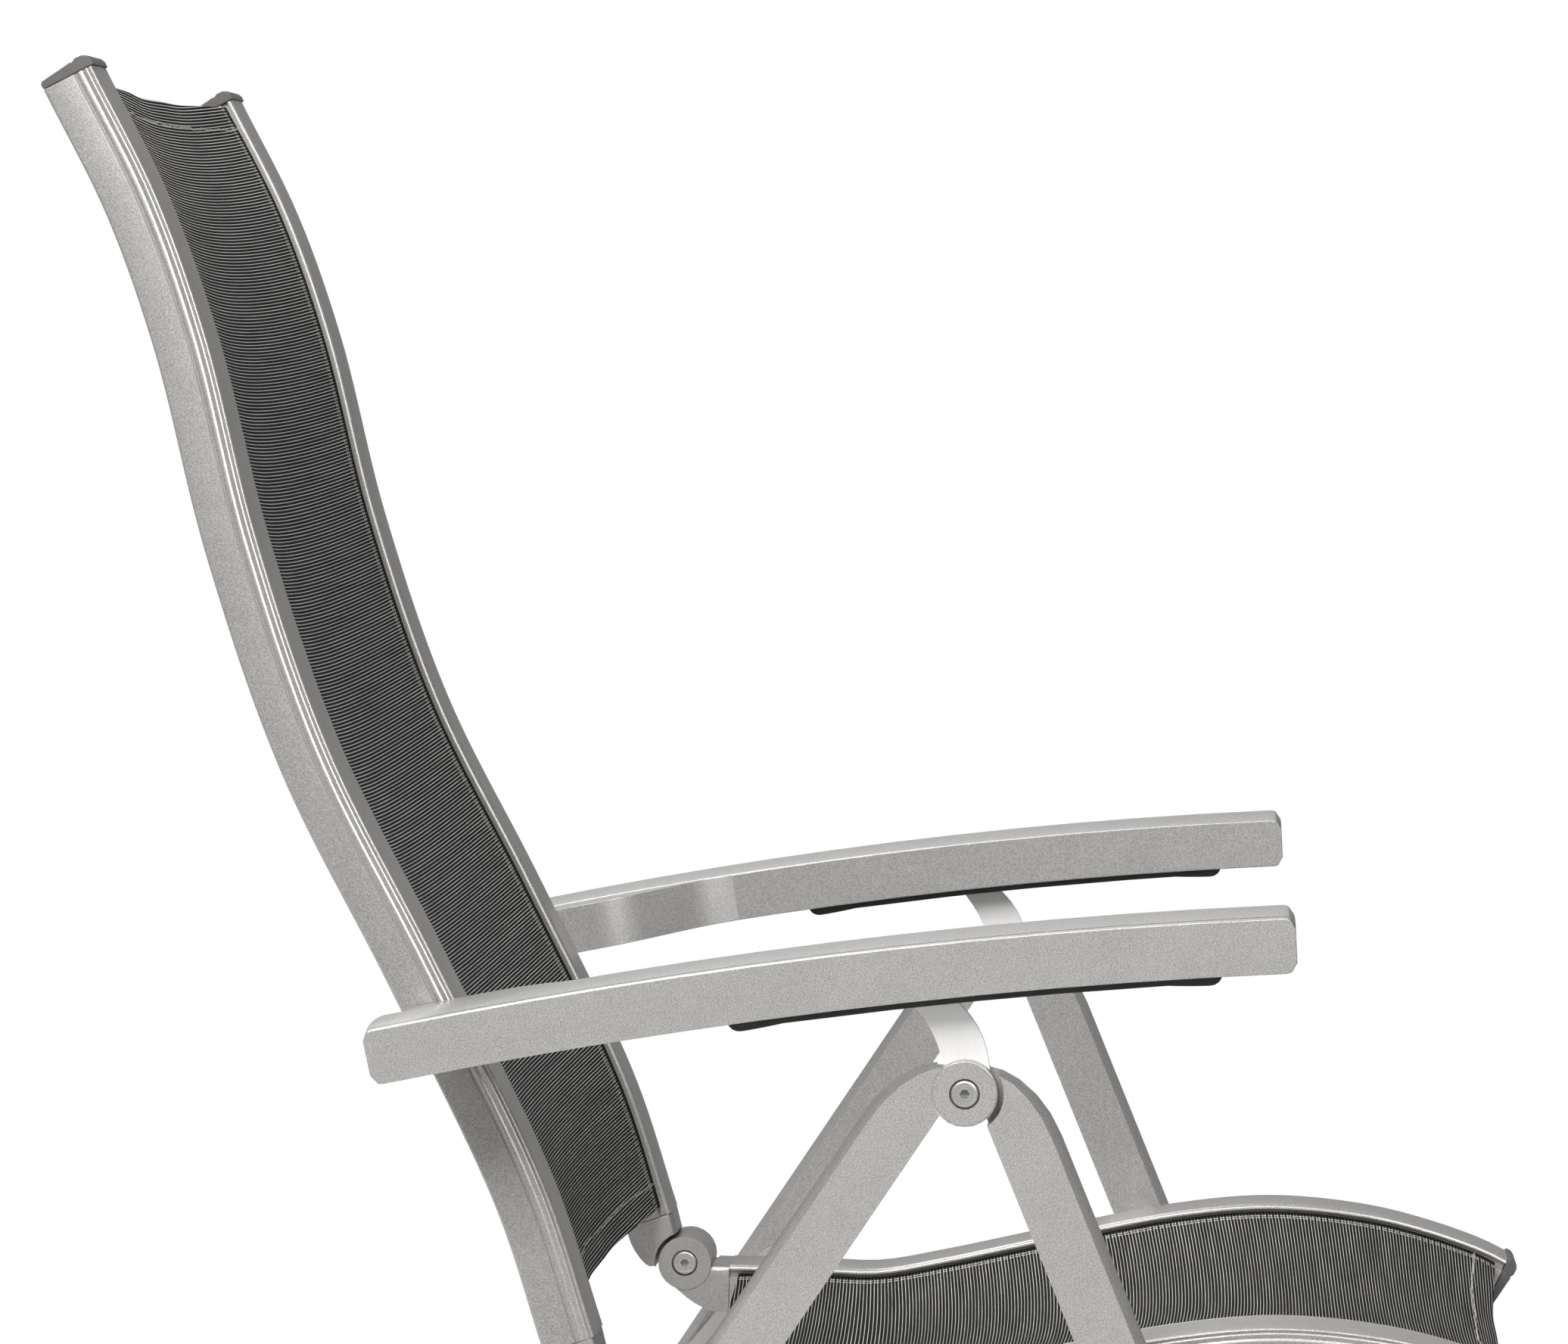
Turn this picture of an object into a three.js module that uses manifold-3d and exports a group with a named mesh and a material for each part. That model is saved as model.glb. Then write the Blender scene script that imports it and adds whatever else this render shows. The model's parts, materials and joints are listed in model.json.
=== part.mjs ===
// A folding, reclining patio chair with a high back. Aluminium rails hold a sling for the back and
// one for the seat, two pairs of legs share a pivot under each armrest, and a toothed rack under
// each armrest takes a pin on a steel stay. Lengths are millimetres: X runs across the chair with
// the sitter's right at -X, the chair faces -Y, and Z is up from the floor.

import * as THREE from 'three';
import { mergeVertices } from 'three/addons/utils/BufferGeometryUtils.js';
import Module from 'manifold-3d';

const wasm = await Module();
wasm.setup();

// Driving dimensions of the whole chair
const HINGE_HEIGHT = 415; // floor to the hinge between back and seat
const RAIL_SPREAD = 213.6; // chair's middle to the middle of a back or seat rail
const ARM_SPACE = 34.9; // a rail's outer side to its armrest's inner side
const BACK_RISE = 645; // hinge to the top of a back rail
const BACK_SETBACK = 250; // how far the top of a back rail stands behind the hinge
const SEAT_REACH = 455; // hinge to the front end of a seat rail
const SEAT_START = 25; // hinge to the rear end of a seat rail
const SEAT_CREST = 37; // hinge to the highest point of the seat
const LEG_PIVOT_REACH = 175.3; // hinge to the leg pivot, forward
const LEG_PIVOT_RISE = 157; // hinge to the leg pivot, up
const FRONT_LEG_LEAN_DEG = 22.1; // front leg from vertical
const REAR_LEG_LEAN_DEG = 33.8; // rear leg from vertical
const ARM_PIVOT_SETBACK = 85.2; // hinge to the armrest pivot, rearward
const ARM_PIVOT_RISE = 180; // hinge to the armrest pivot, up
const GAP = 0.3; // clearance between pieces that touch
const OVERRUN = 5; // how far a cutting tool runs past what it cuts
const WELD = 0.0003; // corners closer than this are one corner

// Rails of the back and the seat
const RAIL_WIDTH = 40;
const RAIL_DEPTH = 27.5;
const BACK_STEPS = 20;
const SEAT_STEPS = 18;
const SLOT_DEPTH_SHARE = 0.2; // sling slot, share of half the rail's width
const SLOT_TOP_SHARE = 0.19; // sling slot, shares of the rail's depth
const SLOT_FLOOR_SHARE = 0.26;

// Slings
const SLING_THICKNESS = 1.2;
const SLING_TUCK = 3.2; // how far a sling runs into the rail's slot
const SLING_COLUMNS = 8;
const BACK_SAG_TOP = 9;
const BACK_SAG_FOOT = 18;
const SEAT_SAG = 16;
const SLING_TOP_MARGIN = 2; // bare rail above the back's sling
const SLING_END_MARGIN = 5; // bare rail at a sling's other ends

// Hinge between back and seat
const BARREL_RADIUS = 14.7;
const BARREL_PROUD = 1.1; // how far the barrel stands out of the rail's side
const BARREL_GAP = 2.1; // open ring round the barrel
const SEAT_BARREL_LENGTH = 29.5;
const TONGUE_LENGTH = 14; // how far a knuckle's tongue enters its rail
const TONGUE_CLEARANCE = 0.7;

// Screws
const SHANK_RADIUS = 4;
const BOLT_BODY_RADIUS = 7.6; // thick part of a hinge bolt
const HEAD_RADIUS = 6.75;
const HEAD_HEIGHT = 3.4;
const HEAD_RING = 0.55; // open ring round a recessed head
const HEAD_RECESS = 0.6; // how far a recessed head lies below its face
const SOCKET_RADIUS = 2.3;
const SOCKET_DEPTH = 2.4;
const ROUND_SIDES = 24;
const SCREW_SIDES = 14;
const HEX_SIDES = 6;

// Legs
const LEG_THICKNESS = 26;
const LEG_DEPTH = 26.2; // flat part of a leg's side
const LEG_CROWN = 4.1; // how far a leg's outer edge bulges past that
const LEG_INSET = 4.2; // pivot to a leg's inner edge
const LEG_WALL = 2.2;
const LEG_BEND = 36; // pivot to where the outer edge turns inwards
const LEG_BEND_RUN = 44; // length of that turn
const LEG_BEND_FALL = 24; // its height
const LEG_BEND_STEPS = 6;
const LEG_SOLID_TOP = 58; // length of leg below the pivot that has no hollow
const EYE_RADIUS = 15.6;
const EYE_GAP = 3;
const OUTER_EYE_SHARE = 0.4; // the rear leg's eye, share of the leg's thickness
const CROWN_STATION_SHARES = [-1, -0.86, -0.55, 0, 0.55, 0.86, 1];
const FOOT_HEIGHT = 14;
const FOOT_WALL = 1.6;
const PLUG_LENGTH = 22;
const CROSS_TUBE_RADIUS = 11;
const CROSS_TUBE_WALL = 1.6;
const CROSS_TUBE_HEIGHT = 78;

// Stay and its pin
const STAY_THICKNESS = 4;
const STAY_FRONT_WIDTH = 13.2; // centre line to the strap's front edge at the eye
const STAY_REAR_WIDTH = 9.4;
const STAY_HEAD_RADIUS = 7.6;
const STAY_EYE_RADIUS = 14.2;
const STAY_REACH = 52; // leg pivot to the pin
const STAY_LEAN_DEG = 23;
const STAY_BULGE = 5.5; // how far the stay bows forward of a straight line
const STAY_STEPS = 8;
const PIN_RADIUS = 3.5;
const PIN_LENGTH = 18;

// Armrest
const ARM_WIDTH = 56;
const ARM_HEIGHT = 26;
const ARM_CROWN = 2.8;
const ARM_REACH = 439;
const ARM_RISE = 57;
const ARM_BOW = 9;
const ARM_TAIL_BACK = 23.7; // pivot to the armrest's rear top edge
const ARM_TAIL_RISE = 5.7;
const ARM_CORNER = 5;
const ARM_WALL = 2.6;
const ARM_STEPS = 12;
const ARM_CORNER_SHARES = [0, 0.3, 1]; // of a quarter turn
const ARM_STATION_SHARES = [-1, -0.94, -0.72, -0.3, 0.3, 0.72, 0.94, 1];

// Rack under the armrest
const RACK_WIDTH = 30;
const RACK_START = 168.5; // armrest's rear end to the rack, along Y
const RACK_LENGTH = 235;
const RACK_TOP = 16; // rack's upper face above the armrest's underside
const RACK_DROP = 4; // how far its middle stands below the underside
const RACK_END_DROP = 5.2;
const RACK_END_RUN = 26;
const RACK_END_STEPS = 5;
const RACK_NOSE = 6; // rounded length at each end of the rack
const RACK_NOSE_STEPS = 4;
const RACK_CHAMBER_WIDTH = 20;
const RACK_SLIT = 7;
const RACK_ENDWALL = 8;
const TOOTH_COUNT = 7;
const TOOTH_TIP = 10.4; // tooth tips above the armrest's underside
const TOOTH_HEIGHT = 3;
const TOOTH_SHARE = 0.5; // of the pitch
const STEPS_PER_TOOTH = 4;
const RACK_STEPS = 14;

// Armrest knuckle, the casting that carries the armrest on the back rail
const KNUCKLE_LENGTH = 106;
const KNUCKLE_TAIL = 12;
const KNUCKLE_NOSE = 30; // full-width stretch in front of the pivot
const KNUCKLE_STEPS = 10; // along it
const FLARE_STEPS = 6; // across it
const BUSH_RADIUS = 8.3;
const PIVOT_GAP = 1.2; // play between the back rail and what turns beside it

// Seat pivot on the front leg, and the pin that slides on the rear leg
const SEAT_PIVOT_DROP = 162.56; // leg pivot to the seat pivot, along the front leg
const SEAT_PIVOT_INSET = 10.74; // front leg's inner edge to the seat pivot
const SPACER_RADIUS = 9;
const SLIDE_REACH = 44;
const SLIDE_DROP = 15;
const SLIDE_RADIUS = 4;
const SLIDE_PLAY = 1.2;
const TRACK_THICKNESS = 3;
const TRACK_RIM = 7; // plate beside its slot
const TRACK_STOPS = 8;
const FOLD_LEGS_DEG = 55.9; // turns of the rear legs and of the seat when the chair folds
const FOLD_SEAT_DEG = 88;

// Spreader tubes behind and under the slings
const SPREADER_RADIUS = 8;
const SPREADER_SETBACK = 19.5; // rail's front to the spreader's ends
const SPREADER_BOW = 34;
const SPREADER_STEPS = 12;
const SPREADER_SIDES = 8;
const BACK_SPREADER_SHARES = [0.2, 0.8]; // along a back rail
const SEAT_SPREADER_SHARES = [0.16, 0.86]; // along a seat rail

// Rail end caps
const CAP_HEIGHT = 6.5;
const CAP_PLUG = 12;

// Outlines as shares. Rail section: half width outwards, depth towards the sitter.
const RAIL_HALF_SHARES = [
  [0, 0], [0.75, -0.04], [0.93, -0.09], [0.98, -0.155], [0.98, -0.3],
  [0.945, -0.33], [1, -0.36], [1, -0.93], [0.92, -1],
];
const RAIL_HOLLOW_SHARES = [[0.72, -0.1], [0.72, -0.3], [0.9, -0.42], [0.9, -0.92]];
const BACK_CURVE_SHARES = [ // rise share, set-back share
  [0.0434, 0.026], [0.1566, 0.122], [0.3287, 0.336], [0.4853, 0.54],
  [0.6434, 0.68], [0.7984, 0.78], [0.9039, 0.876], [1, 1],
];
const SEAT_CURVE_SHARES = [ // length share, crest share, from the front end back to the rear end
  [1, 0.2], [0.9704, 0.37], [0.8931, 0.678], [0.8148, 0.886], [0.6974, 1], [0.581, 0.878],
  [0.4254, 0.516], [0.2688, 0.116], [0.1905, -0.043], [0.1112, -0.02], [0, 0],
];
const CAP_OUTLINE_SHARES = [ // rail depth from the front, cap height
  [0, 0], [0, 0.42], [0.04, 0.8], [0.13, 1], [0.26, 1], [0.33, 0.82], [0.38, 0.9],
  [0.44, 0.84], [0.8, 0.66], [0.96, 0.56], [1, 0.4], [1, 0],
];
const KNUCKLE_NOSE_SHARES = [[0.75, -0.04], [0.93, -0.09], [0.98, -0.155], [1, -0.36]];
const BACK_KNUCKLE_SHARES = [ // barrel radius rearward and up from the hinge
  [2.15, 1.02], [2.05, 0.72], [1.9, 0.43], [1.7, 0.15], [1.5, -0.06], [1.32, -0.16],
  [1.17, -0.13], [0.6, -0.72], [-0.5, -0.55],
];
const SEAT_KNUCKLE_SHARES = [ // barrel radius rearward and up from the hinge
  [-1.32, -1.86], [-0.98, -1.8], [-0.68, -1.69], [-0.38, -1.53], [-0.1, -1.34], [0.16, -1.12],
  [0.42, -0.9], [0.83, -0.41], [0.2, 0.5],
];
const BACK_NOSE_SHARES = [0.18, 0.84]; // where the back knuckle's nose runs into its barrel
const SEAT_NOSE_SHARES = [-0.85, 0.02];

const RIGHT = { name: 'right', sign: -1 };
const LEFT = { name: 'left', sign: 1 };
const SIDES = [RIGHT, LEFT];

const finish = (colour, roughness, metalness) =>
  new THREE.MeshStandardMaterial({ color: colour, roughness, metalness });
const paintedAluminium = () => finish(0xa9a8a6, 0.45, 0.6);
const castAluminium = () => finish(0x9a9a99, 0.5, 0.6);
const brushedSteel = () => finish(0xd8d7d5, 0.3, 0.9);
const zincScrew = () => finish(0xb9b7b4, 0.35, 0.85);
const darkPlastic = () => finish(0x4c4c4b, 0.5, 0);
const blackPlastic = () => finish(0x2b2b2b, 0.45, 0);
const slingCloth = () => finish(0x4b4a49, 0.8, 0);

const radians = THREE.MathUtils.degToRad;
const ACROSS = new THREE.Matrix4().makeBasis(
  new THREE.Vector3(0, 1, 0), new THREE.Vector3(0, 0, 1), new THREE.Vector3(1, 0, 0));

// Solids and booleans

function toSolid(geometry) {
  const bare = geometry.clone();
  bare.deleteAttribute('normal');
  bare.deleteAttribute('uv');
  const merged = mergeVertices(bare, WELD);
  const vertProperties = Float32Array.from(merged.getAttribute('position').array);
  const triVerts = Uint32Array.from(merged.getIndex().array);
  return new wasm.Manifold(new wasm.Mesh({ numProp: 3, vertProperties, triVerts }));
}

function toGeometry(solid) {
  const mesh = solid.getMesh();
  const geometry = new THREE.BufferGeometry();
  geometry.setAttribute('position', new THREE.BufferAttribute(Float32Array.from(mesh.vertProperties), 3));
  geometry.setIndex(new THREE.BufferAttribute(Uint32Array.from(mesh.triVerts), 1));
  return geometry;
}

const cut = (body, ...tools) =>
  toGeometry(tools.reduce((solid, tool) => solid.subtract(toSolid(tool)), toSolid(body)));
const join = (body, ...others) =>
  toGeometry(others.reduce((solid, other) => solid.add(toSolid(other)), toSolid(body)));

// Shapes

const spaced = (from, to, count) =>
  Array.from({ length: count + 1 }, (_, i) => from + ((to - from) * i) / count);

const counterClockwise = (outline) => {
  const area = THREE.ShapeUtils.area(outline.map(([y, z]) => new THREE.Vector2(y, z)));
  return area > 0 ? outline : outline.slice().reverse();
};

// A flat outline in the YZ plane, given thickness from x0 to x1
function plate(outline, x0, x1) {
  const shape = new THREE.Shape(outline.map(([y, z]) => new THREE.Vector2(y, z)));
  const low = Math.min(x0, x1);
  const geometry = new THREE.ExtrudeGeometry(shape, { depth: Math.abs(x1 - x0), bevelEnabled: false });
  return geometry.translate(0, 0, low).applyMatrix4(ACROSS);
}

// A round bar along X
function rod(radius, x0, x1, [y, z], sides = ROUND_SIDES) {
  const geometry = new THREE.CylinderGeometry(radius, radius, Math.abs(x1 - x0), sides);
  return geometry.rotateZ(Math.PI / 2).translate((x0 + x1) / 2, y, z);
}

// A solid whose YZ outline changes from station to station along X; outlines run counter-clockwise
function stack(stations, outlineAt) {
  const outlines = stations.map(outlineAt);
  const count = outlines[0].length;
  const positions = outlines.flatMap((outline, s) => outline.flatMap(([y, z]) => [stations[s], y, z]));
  const index = [];
  for (let s = 0; s + 1 < stations.length; s += 1) {
    for (let i = 0; i < count; i += 1) {
      const a = s * count + i;
      const b = s * count + ((i + 1) % count);
      index.push(a, b, b + count, a, b + count, a + count);
    }
  }
  [[0, -1], [stations.length - 1, 1]].forEach(([s, facing]) => {
    const contour = outlines[s].map(([y, z]) => new THREE.Vector2(y, z));
    THREE.ShapeUtils.triangulateShape(contour, []).forEach((face) => {
      const turn = THREE.ShapeUtils.area(face.map((i) => contour[i])) * facing;
      const [a, b, c] = face.map((i) => s * count + i);
      index.push(...(turn > 0 ? [a, b, c] : [a, c, b]));
    });
  });
  const geometry = new THREE.BufferGeometry();
  geometry.setAttribute('position', new THREE.Float32BufferAttribute(positions, 3));
  geometry.setIndex(index);
  return geometry;
}

function sweep(shape, path, steps) {
  return new THREE.ExtrudeGeometry(shape, { steps, extrudePath: path, bevelEnabled: false });
}

function ringShape(radius, sides) {
  const points = Array.from({ length: sides }, (_, i) => {
    const angle = (2 * Math.PI * i) / sides;
    return new THREE.Vector2(radius * Math.cos(angle), radius * Math.sin(angle));
  });
  return new THREE.Shape(points);
}

// A tube centre line across the chair, bowed away from the sitter between two straight ends
class Bow extends THREE.Curve {
  constructor(halfSpan, end, away, depth) {
    super();
    Object.assign(this, { halfSpan, end, away, depth });
  }

  getPoint(t, target = new THREE.Vector3()) {
    const lift = (1 - Math.cos(2 * Math.PI * t)) / 2;
    const shift = this.depth * lift;
    return target.set((2 * t - 1) * this.halfSpan,
      this.end[0] + this.away[0] * shift, this.end[1] + this.away[1] * shift);
  }
}

// Places in the YZ plane

const hinge = [0, HINGE_HEIGHT];
const legPivot = [-LEG_PIVOT_REACH, HINGE_HEIGHT + LEG_PIVOT_RISE];
const slidePin = [-SLIDE_REACH, HINGE_HEIGHT - SLIDE_DROP];
const armPivot = [ARM_PIVOT_SETBACK, HINGE_HEIGHT + ARM_PIVOT_RISE];
const stayPin = [
  legPivot[0] + STAY_REACH * Math.sin(radians(STAY_LEAN_DEG)),
  legPivot[1] + STAY_REACH * Math.cos(radians(STAY_LEAN_DEG)),
];

// Turns lengths along and across a leg, measured from the leg pivot, into a place in the YZ plane
function legFrame(leanDeg, forward) {
  const lean = radians(leanDeg);
  const down = [forward * Math.sin(lean), -Math.cos(lean)];
  const out = [forward * Math.cos(lean), Math.sin(lean)];
  return {
    at: (along, across) => [
      legPivot[0] + down[0] * along + out[0] * across, legPivot[1] + down[1] * along + out[1] * across,
    ],
    alongAt: (height, across) => (legPivot[1] + out[1] * across - height) / -down[1],
  };
}

const frontFrame = legFrame(FRONT_LEG_LEAN_DEG, -1);
const rearFrame = legFrame(REAR_LEG_LEAN_DEG, 1);

const seatPivot = frontFrame.at(SEAT_PIVOT_DROP, LEG_INSET + SEAT_PIVOT_INSET);

const railX = (side, share = 0) => side.sign * (RAIL_SPREAD + (share * RAIL_WIDTH) / 2);
const legSpread = RAIL_SPREAD + RAIL_WIDTH / 2 + ARM_SPACE + ARM_WIDTH / 2;
const railInner = RAIL_SPREAD - RAIL_WIDTH / 2;
const railOuter = RAIL_SPREAD + RAIL_WIDTH / 2;
const legInner = legSpread - LEG_THICKNESS / 2;
const legOuter = legSpread + LEG_THICKNESS / 2;
const armInner = legSpread - ARM_WIDTH / 2;

const backCurve = (x = 0) => new THREE.CatmullRomCurve3(BACK_CURVE_SHARES.map(([rise, back]) =>
  new THREE.Vector3(x, back * BACK_SETBACK, HINGE_HEIGHT + rise * BACK_RISE)));
const seatCurve = (x = 0) => new THREE.CatmullRomCurve3(SEAT_CURVE_SHARES.map(([length, crest]) =>
  new THREE.Vector3(x, -SEAT_START - length * (SEAT_REACH - SEAT_START), HINGE_HEIGHT + crest * SEAT_CREST)));

// Where a swept rail's front and its outward normal lie at a step, or between two steps
function stationOn(curve, steps, step) {
  const whole = Math.min(Math.floor(step), steps - 1);
  const part = step - whole;
  const at = (k) => {
    const point = curve.getPointAt(k / steps);
    const tangent = curve.getTangentAt(k / steps);
    return { point: [point.y, point.z], out: [-tangent.z, tangent.y] };
  };
  const [low, high] = [at(whole), at(whole + 1)];
  const mix = (a, b) => [a[0] + (b[0] - a[0]) * part, a[1] + (b[1] - a[1]) * part];
  return { point: mix(low.point, high.point), out: mix(low.out, high.out) };
}

// Direction in which a rail ends at its first or last step
const endward = ({ out }, step) => (step > 0 ? [out[1], -out[0]] : [-out[1], out[0]]);
const offset = ({ point, out }, distance) => [point[0] + out[0] * distance, point[1] + out[1] * distance];

// Rails

// The outline's first point below the sling slot
const belowSlot = RAIL_HALF_SHARES.findIndex(([, depth]) => depth < -SLOT_FLOOR_SHARE);

function railShape(side) {
  const half = RAIL_WIDTH / 2;
  const outward = (share) => (side.sign < 0 ? share : -share) * half;
  const outer = RAIL_HALF_SHARES.map(([u, v]) => [outward(u), v * RAIL_DEPTH]);
  const slot = [
    [1 - SLOT_DEPTH_SHARE, -SLOT_FLOOR_SHARE], [1 - SLOT_DEPTH_SHARE, -SLOT_TOP_SHARE],
  ];
  const edge = RAIL_HALF_SHARES[belowSlot][0];
  const innerShares = RAIL_HALF_SHARES.slice(1).reverse().flatMap(([u, v], i, list) => {
    if (i !== list.length - belowSlot) return [[u, v]];
    return [[u, v], [edge, -SLOT_FLOOR_SHARE], ...slot, [edge, -SLOT_TOP_SHARE]];
  });
  const inner = innerShares.map(([u, v]) => [outward(-u), v * RAIL_DEPTH]);
  const outline = counterClockwise([...outer, ...inner]);
  const shape = new THREE.Shape(outline.map(([x, y]) => new THREE.Vector2(x, y)));
  const hollow = [...RAIL_HOLLOW_SHARES, ...RAIL_HOLLOW_SHARES.map(([u, v]) => [-u, v]).reverse()];
  shape.holes.push(new THREE.Path(hollow.map(([u, v]) => new THREE.Vector2(outward(u), v * RAIL_DEPTH))));
  return shape;
}

// A bar that fits the rail's hollow at one end of its path, reaching into it and out to a knuckle or cap
function railTongue(side, curve, steps, step, inward, outward) {
  const station = stationOn(curve, steps, step);
  const { point, out } = station;
  const along = endward(station, step);
  const [top, floor] = [RAIL_HOLLOW_SHARES[1][1], RAIL_HOLLOW_SHARES[3][1]].map((v) => v * RAIL_DEPTH);
  const corner = (depth, length) => [
    point[0] + out[0] * depth + along[0] * length, point[1] + out[1] * depth + along[1] * length,
  ];
  const outline = [
    corner(top - TONGUE_CLEARANCE, outward), corner(floor + TONGUE_CLEARANCE, outward),
    corner(floor + TONGUE_CLEARANCE, -inward), corner(top - TONGUE_CLEARANCE, -inward),
  ];
  const half = (RAIL_HOLLOW_SHARES[1][0] * RAIL_WIDTH) / 2 - TONGUE_CLEARANCE;
  return plate(outline, side.sign * RAIL_SPREAD - half, side.sign * RAIL_SPREAD + half);
}

function backRail(side) {
  const bar = sweep(railShape(side), backCurve(railX(side)), BACK_STEPS);
  const reach = RAIL_WIDTH + OVERRUN;
  const x = railX(side);
  return cut(bar, rod(SHANK_RADIUS + GAP, x - reach, x + reach, armPivot));
}

function seatRail(side) {
  const bar = sweep(railShape(side), seatCurve(railX(side)), SEAT_STEPS);
  const reach = RAIL_WIDTH + OVERRUN;
  const x = railX(side);
  return cut(bar, rod(SHANK_RADIUS + GAP, x - reach, x + reach, seatPivot),
    rod(SLIDE_RADIUS + GAP, x - reach, x + reach, slidePin));
}

function railCap(side, curve, steps, step) {
  const station = stationOn(curve, steps, step);
  const { point, out } = station;
  const along = endward(station, step);
  const outline = CAP_OUTLINE_SHARES.map(([depth, height]) => {
    const lift = height * CAP_HEIGHT + GAP;
    return [
      point[0] - out[0] * depth * RAIL_DEPTH + along[0] * lift,
      point[1] - out[1] * depth * RAIL_DEPTH + along[1] * lift,
    ];
  });
  const body = plate(outline, railX(side, -1), railX(side, 1));
  return join(body, railTongue(side, curve, steps, step, CAP_PLUG, GAP * 2));
}

// Hinge knuckles

const fromHinge = (shares) => shares.map(([back, up]) =>
  [hinge[0] + back * BARREL_RADIUS, hinge[1] + up * BARREL_RADIUS]);
const barrelInner = railInner - BARREL_PROUD;
const barrelSeam = barrelInner + SEAT_BARREL_LENGTH;
const barrelOuter = railOuter + BARREL_PROUD;

// A knuckle's body, which carries the rail's rounded nose on from the rail's end to the barrel
function knuckleBody(side, curve, steps, step, shares, noseShares) {
  const station = stationOn(curve, steps, step);
  const along = endward(station, step);
  const atEnd = (depth) => {
    const [y, z] = offset(station, depth);
    return [y + along[0] * GAP, z + along[1] * GAP];
  };
  const [low] = fromHinge([noseShares]);
  const nose = [...KNUCKLE_NOSE_SHARES.map(([u, v]) => [-u, v]).reverse(), ...KNUCKLE_NOSE_SHARES];
  const stations = nose.map(([u]) => side.sign * RAIL_SPREAD + (u * RAIL_WIDTH) / 2);
  return stack(stations, (x, i) => {
    const depth = nose[i][1] * RAIL_DEPTH;
    return counterClockwise([
      atEnd(depth), atEnd(-RAIL_DEPTH), ...fromHinge(shares),
      [low[0] + station.out[0] * depth, low[1] + station.out[1] * depth],
    ]);
  });
}

function backKnuckle(side) {
  const s = side.sign;
  const body = join(knuckleBody(side, backCurve(), BACK_STEPS, 0, BACK_KNUCKLE_SHARES, BACK_NOSE_SHARES),
    railTongue(side, backCurve(), BACK_STEPS, 0, TONGUE_LENGTH, GAP * 2),
    rod(BARREL_RADIUS, s * (barrelSeam + GAP), s * barrelOuter, hinge));
  return cut(body,
    rod(BARREL_RADIUS + BARREL_GAP, s * (barrelInner - OVERRUN), s * (barrelSeam + GAP), hinge),
    rod(BOLT_BODY_RADIUS + GAP, s * (barrelInner - OVERRUN), s * (barrelOuter + OVERRUN), hinge));
}

function seatKnuckle(side) {
  const s = side.sign;
  const body = cut(
    knuckleBody(side, seatCurve(), SEAT_STEPS, SEAT_STEPS, SEAT_KNUCKLE_SHARES, SEAT_NOSE_SHARES),
    rod(BARREL_RADIUS + BARREL_GAP, s * barrelSeam, s * (barrelOuter + OVERRUN), hinge));
  const whole = join(body, rod(BARREL_RADIUS, s * barrelInner, s * barrelSeam, hinge),
    railTongue(side, seatCurve(), SEAT_STEPS, SEAT_STEPS, TONGUE_LENGTH, GAP * 2));
  const headEnd = barrelInner + HEAD_RECESS + HEAD_HEIGHT;
  return cut(whole,
    rod(BOLT_BODY_RADIUS + GAP, s * headEnd, s * (barrelOuter + OVERRUN), hinge),
    rod(HEAD_RADIUS + HEAD_RING, s * (barrelInner - OVERRUN), s * (headEnd + GAP), hinge));
}

// A screw along X: its head starts at headX, its shank ends at endX with a nut of its own length
function screw(place, headX, endX, nutHeight) {
  const inward = Math.sign(endX - headX);
  const nutX = endX - inward * nutHeight;
  const body = join(rod(SHANK_RADIUS, headX, endX, place, SCREW_SIDES),
    rod(HEAD_RADIUS, headX, headX + inward * HEAD_HEIGHT, place, SCREW_SIDES),
    rod(HEAD_RADIUS, nutX, endX, place, HEX_SIDES));
  const [from, to] = [headX - inward * OVERRUN, headX + inward * SOCKET_DEPTH];
  return cut(body, rod(SOCKET_RADIUS, from, to, place, HEX_SIDES));
}

function hingeBolt(side) {
  const s = side.sign;
  const nutFace = barrelOuter + GAP;
  const headEnd = barrelInner + HEAD_RECESS + HEAD_HEIGHT;
  return join(screw(hinge, s * (barrelInner + HEAD_RECESS), s * (nutFace + HEAD_HEIGHT), HEAD_HEIGHT),
    rod(BOLT_BODY_RADIUS, s * (headEnd + GAP), s * barrelOuter, hinge));
}

// Slings

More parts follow.
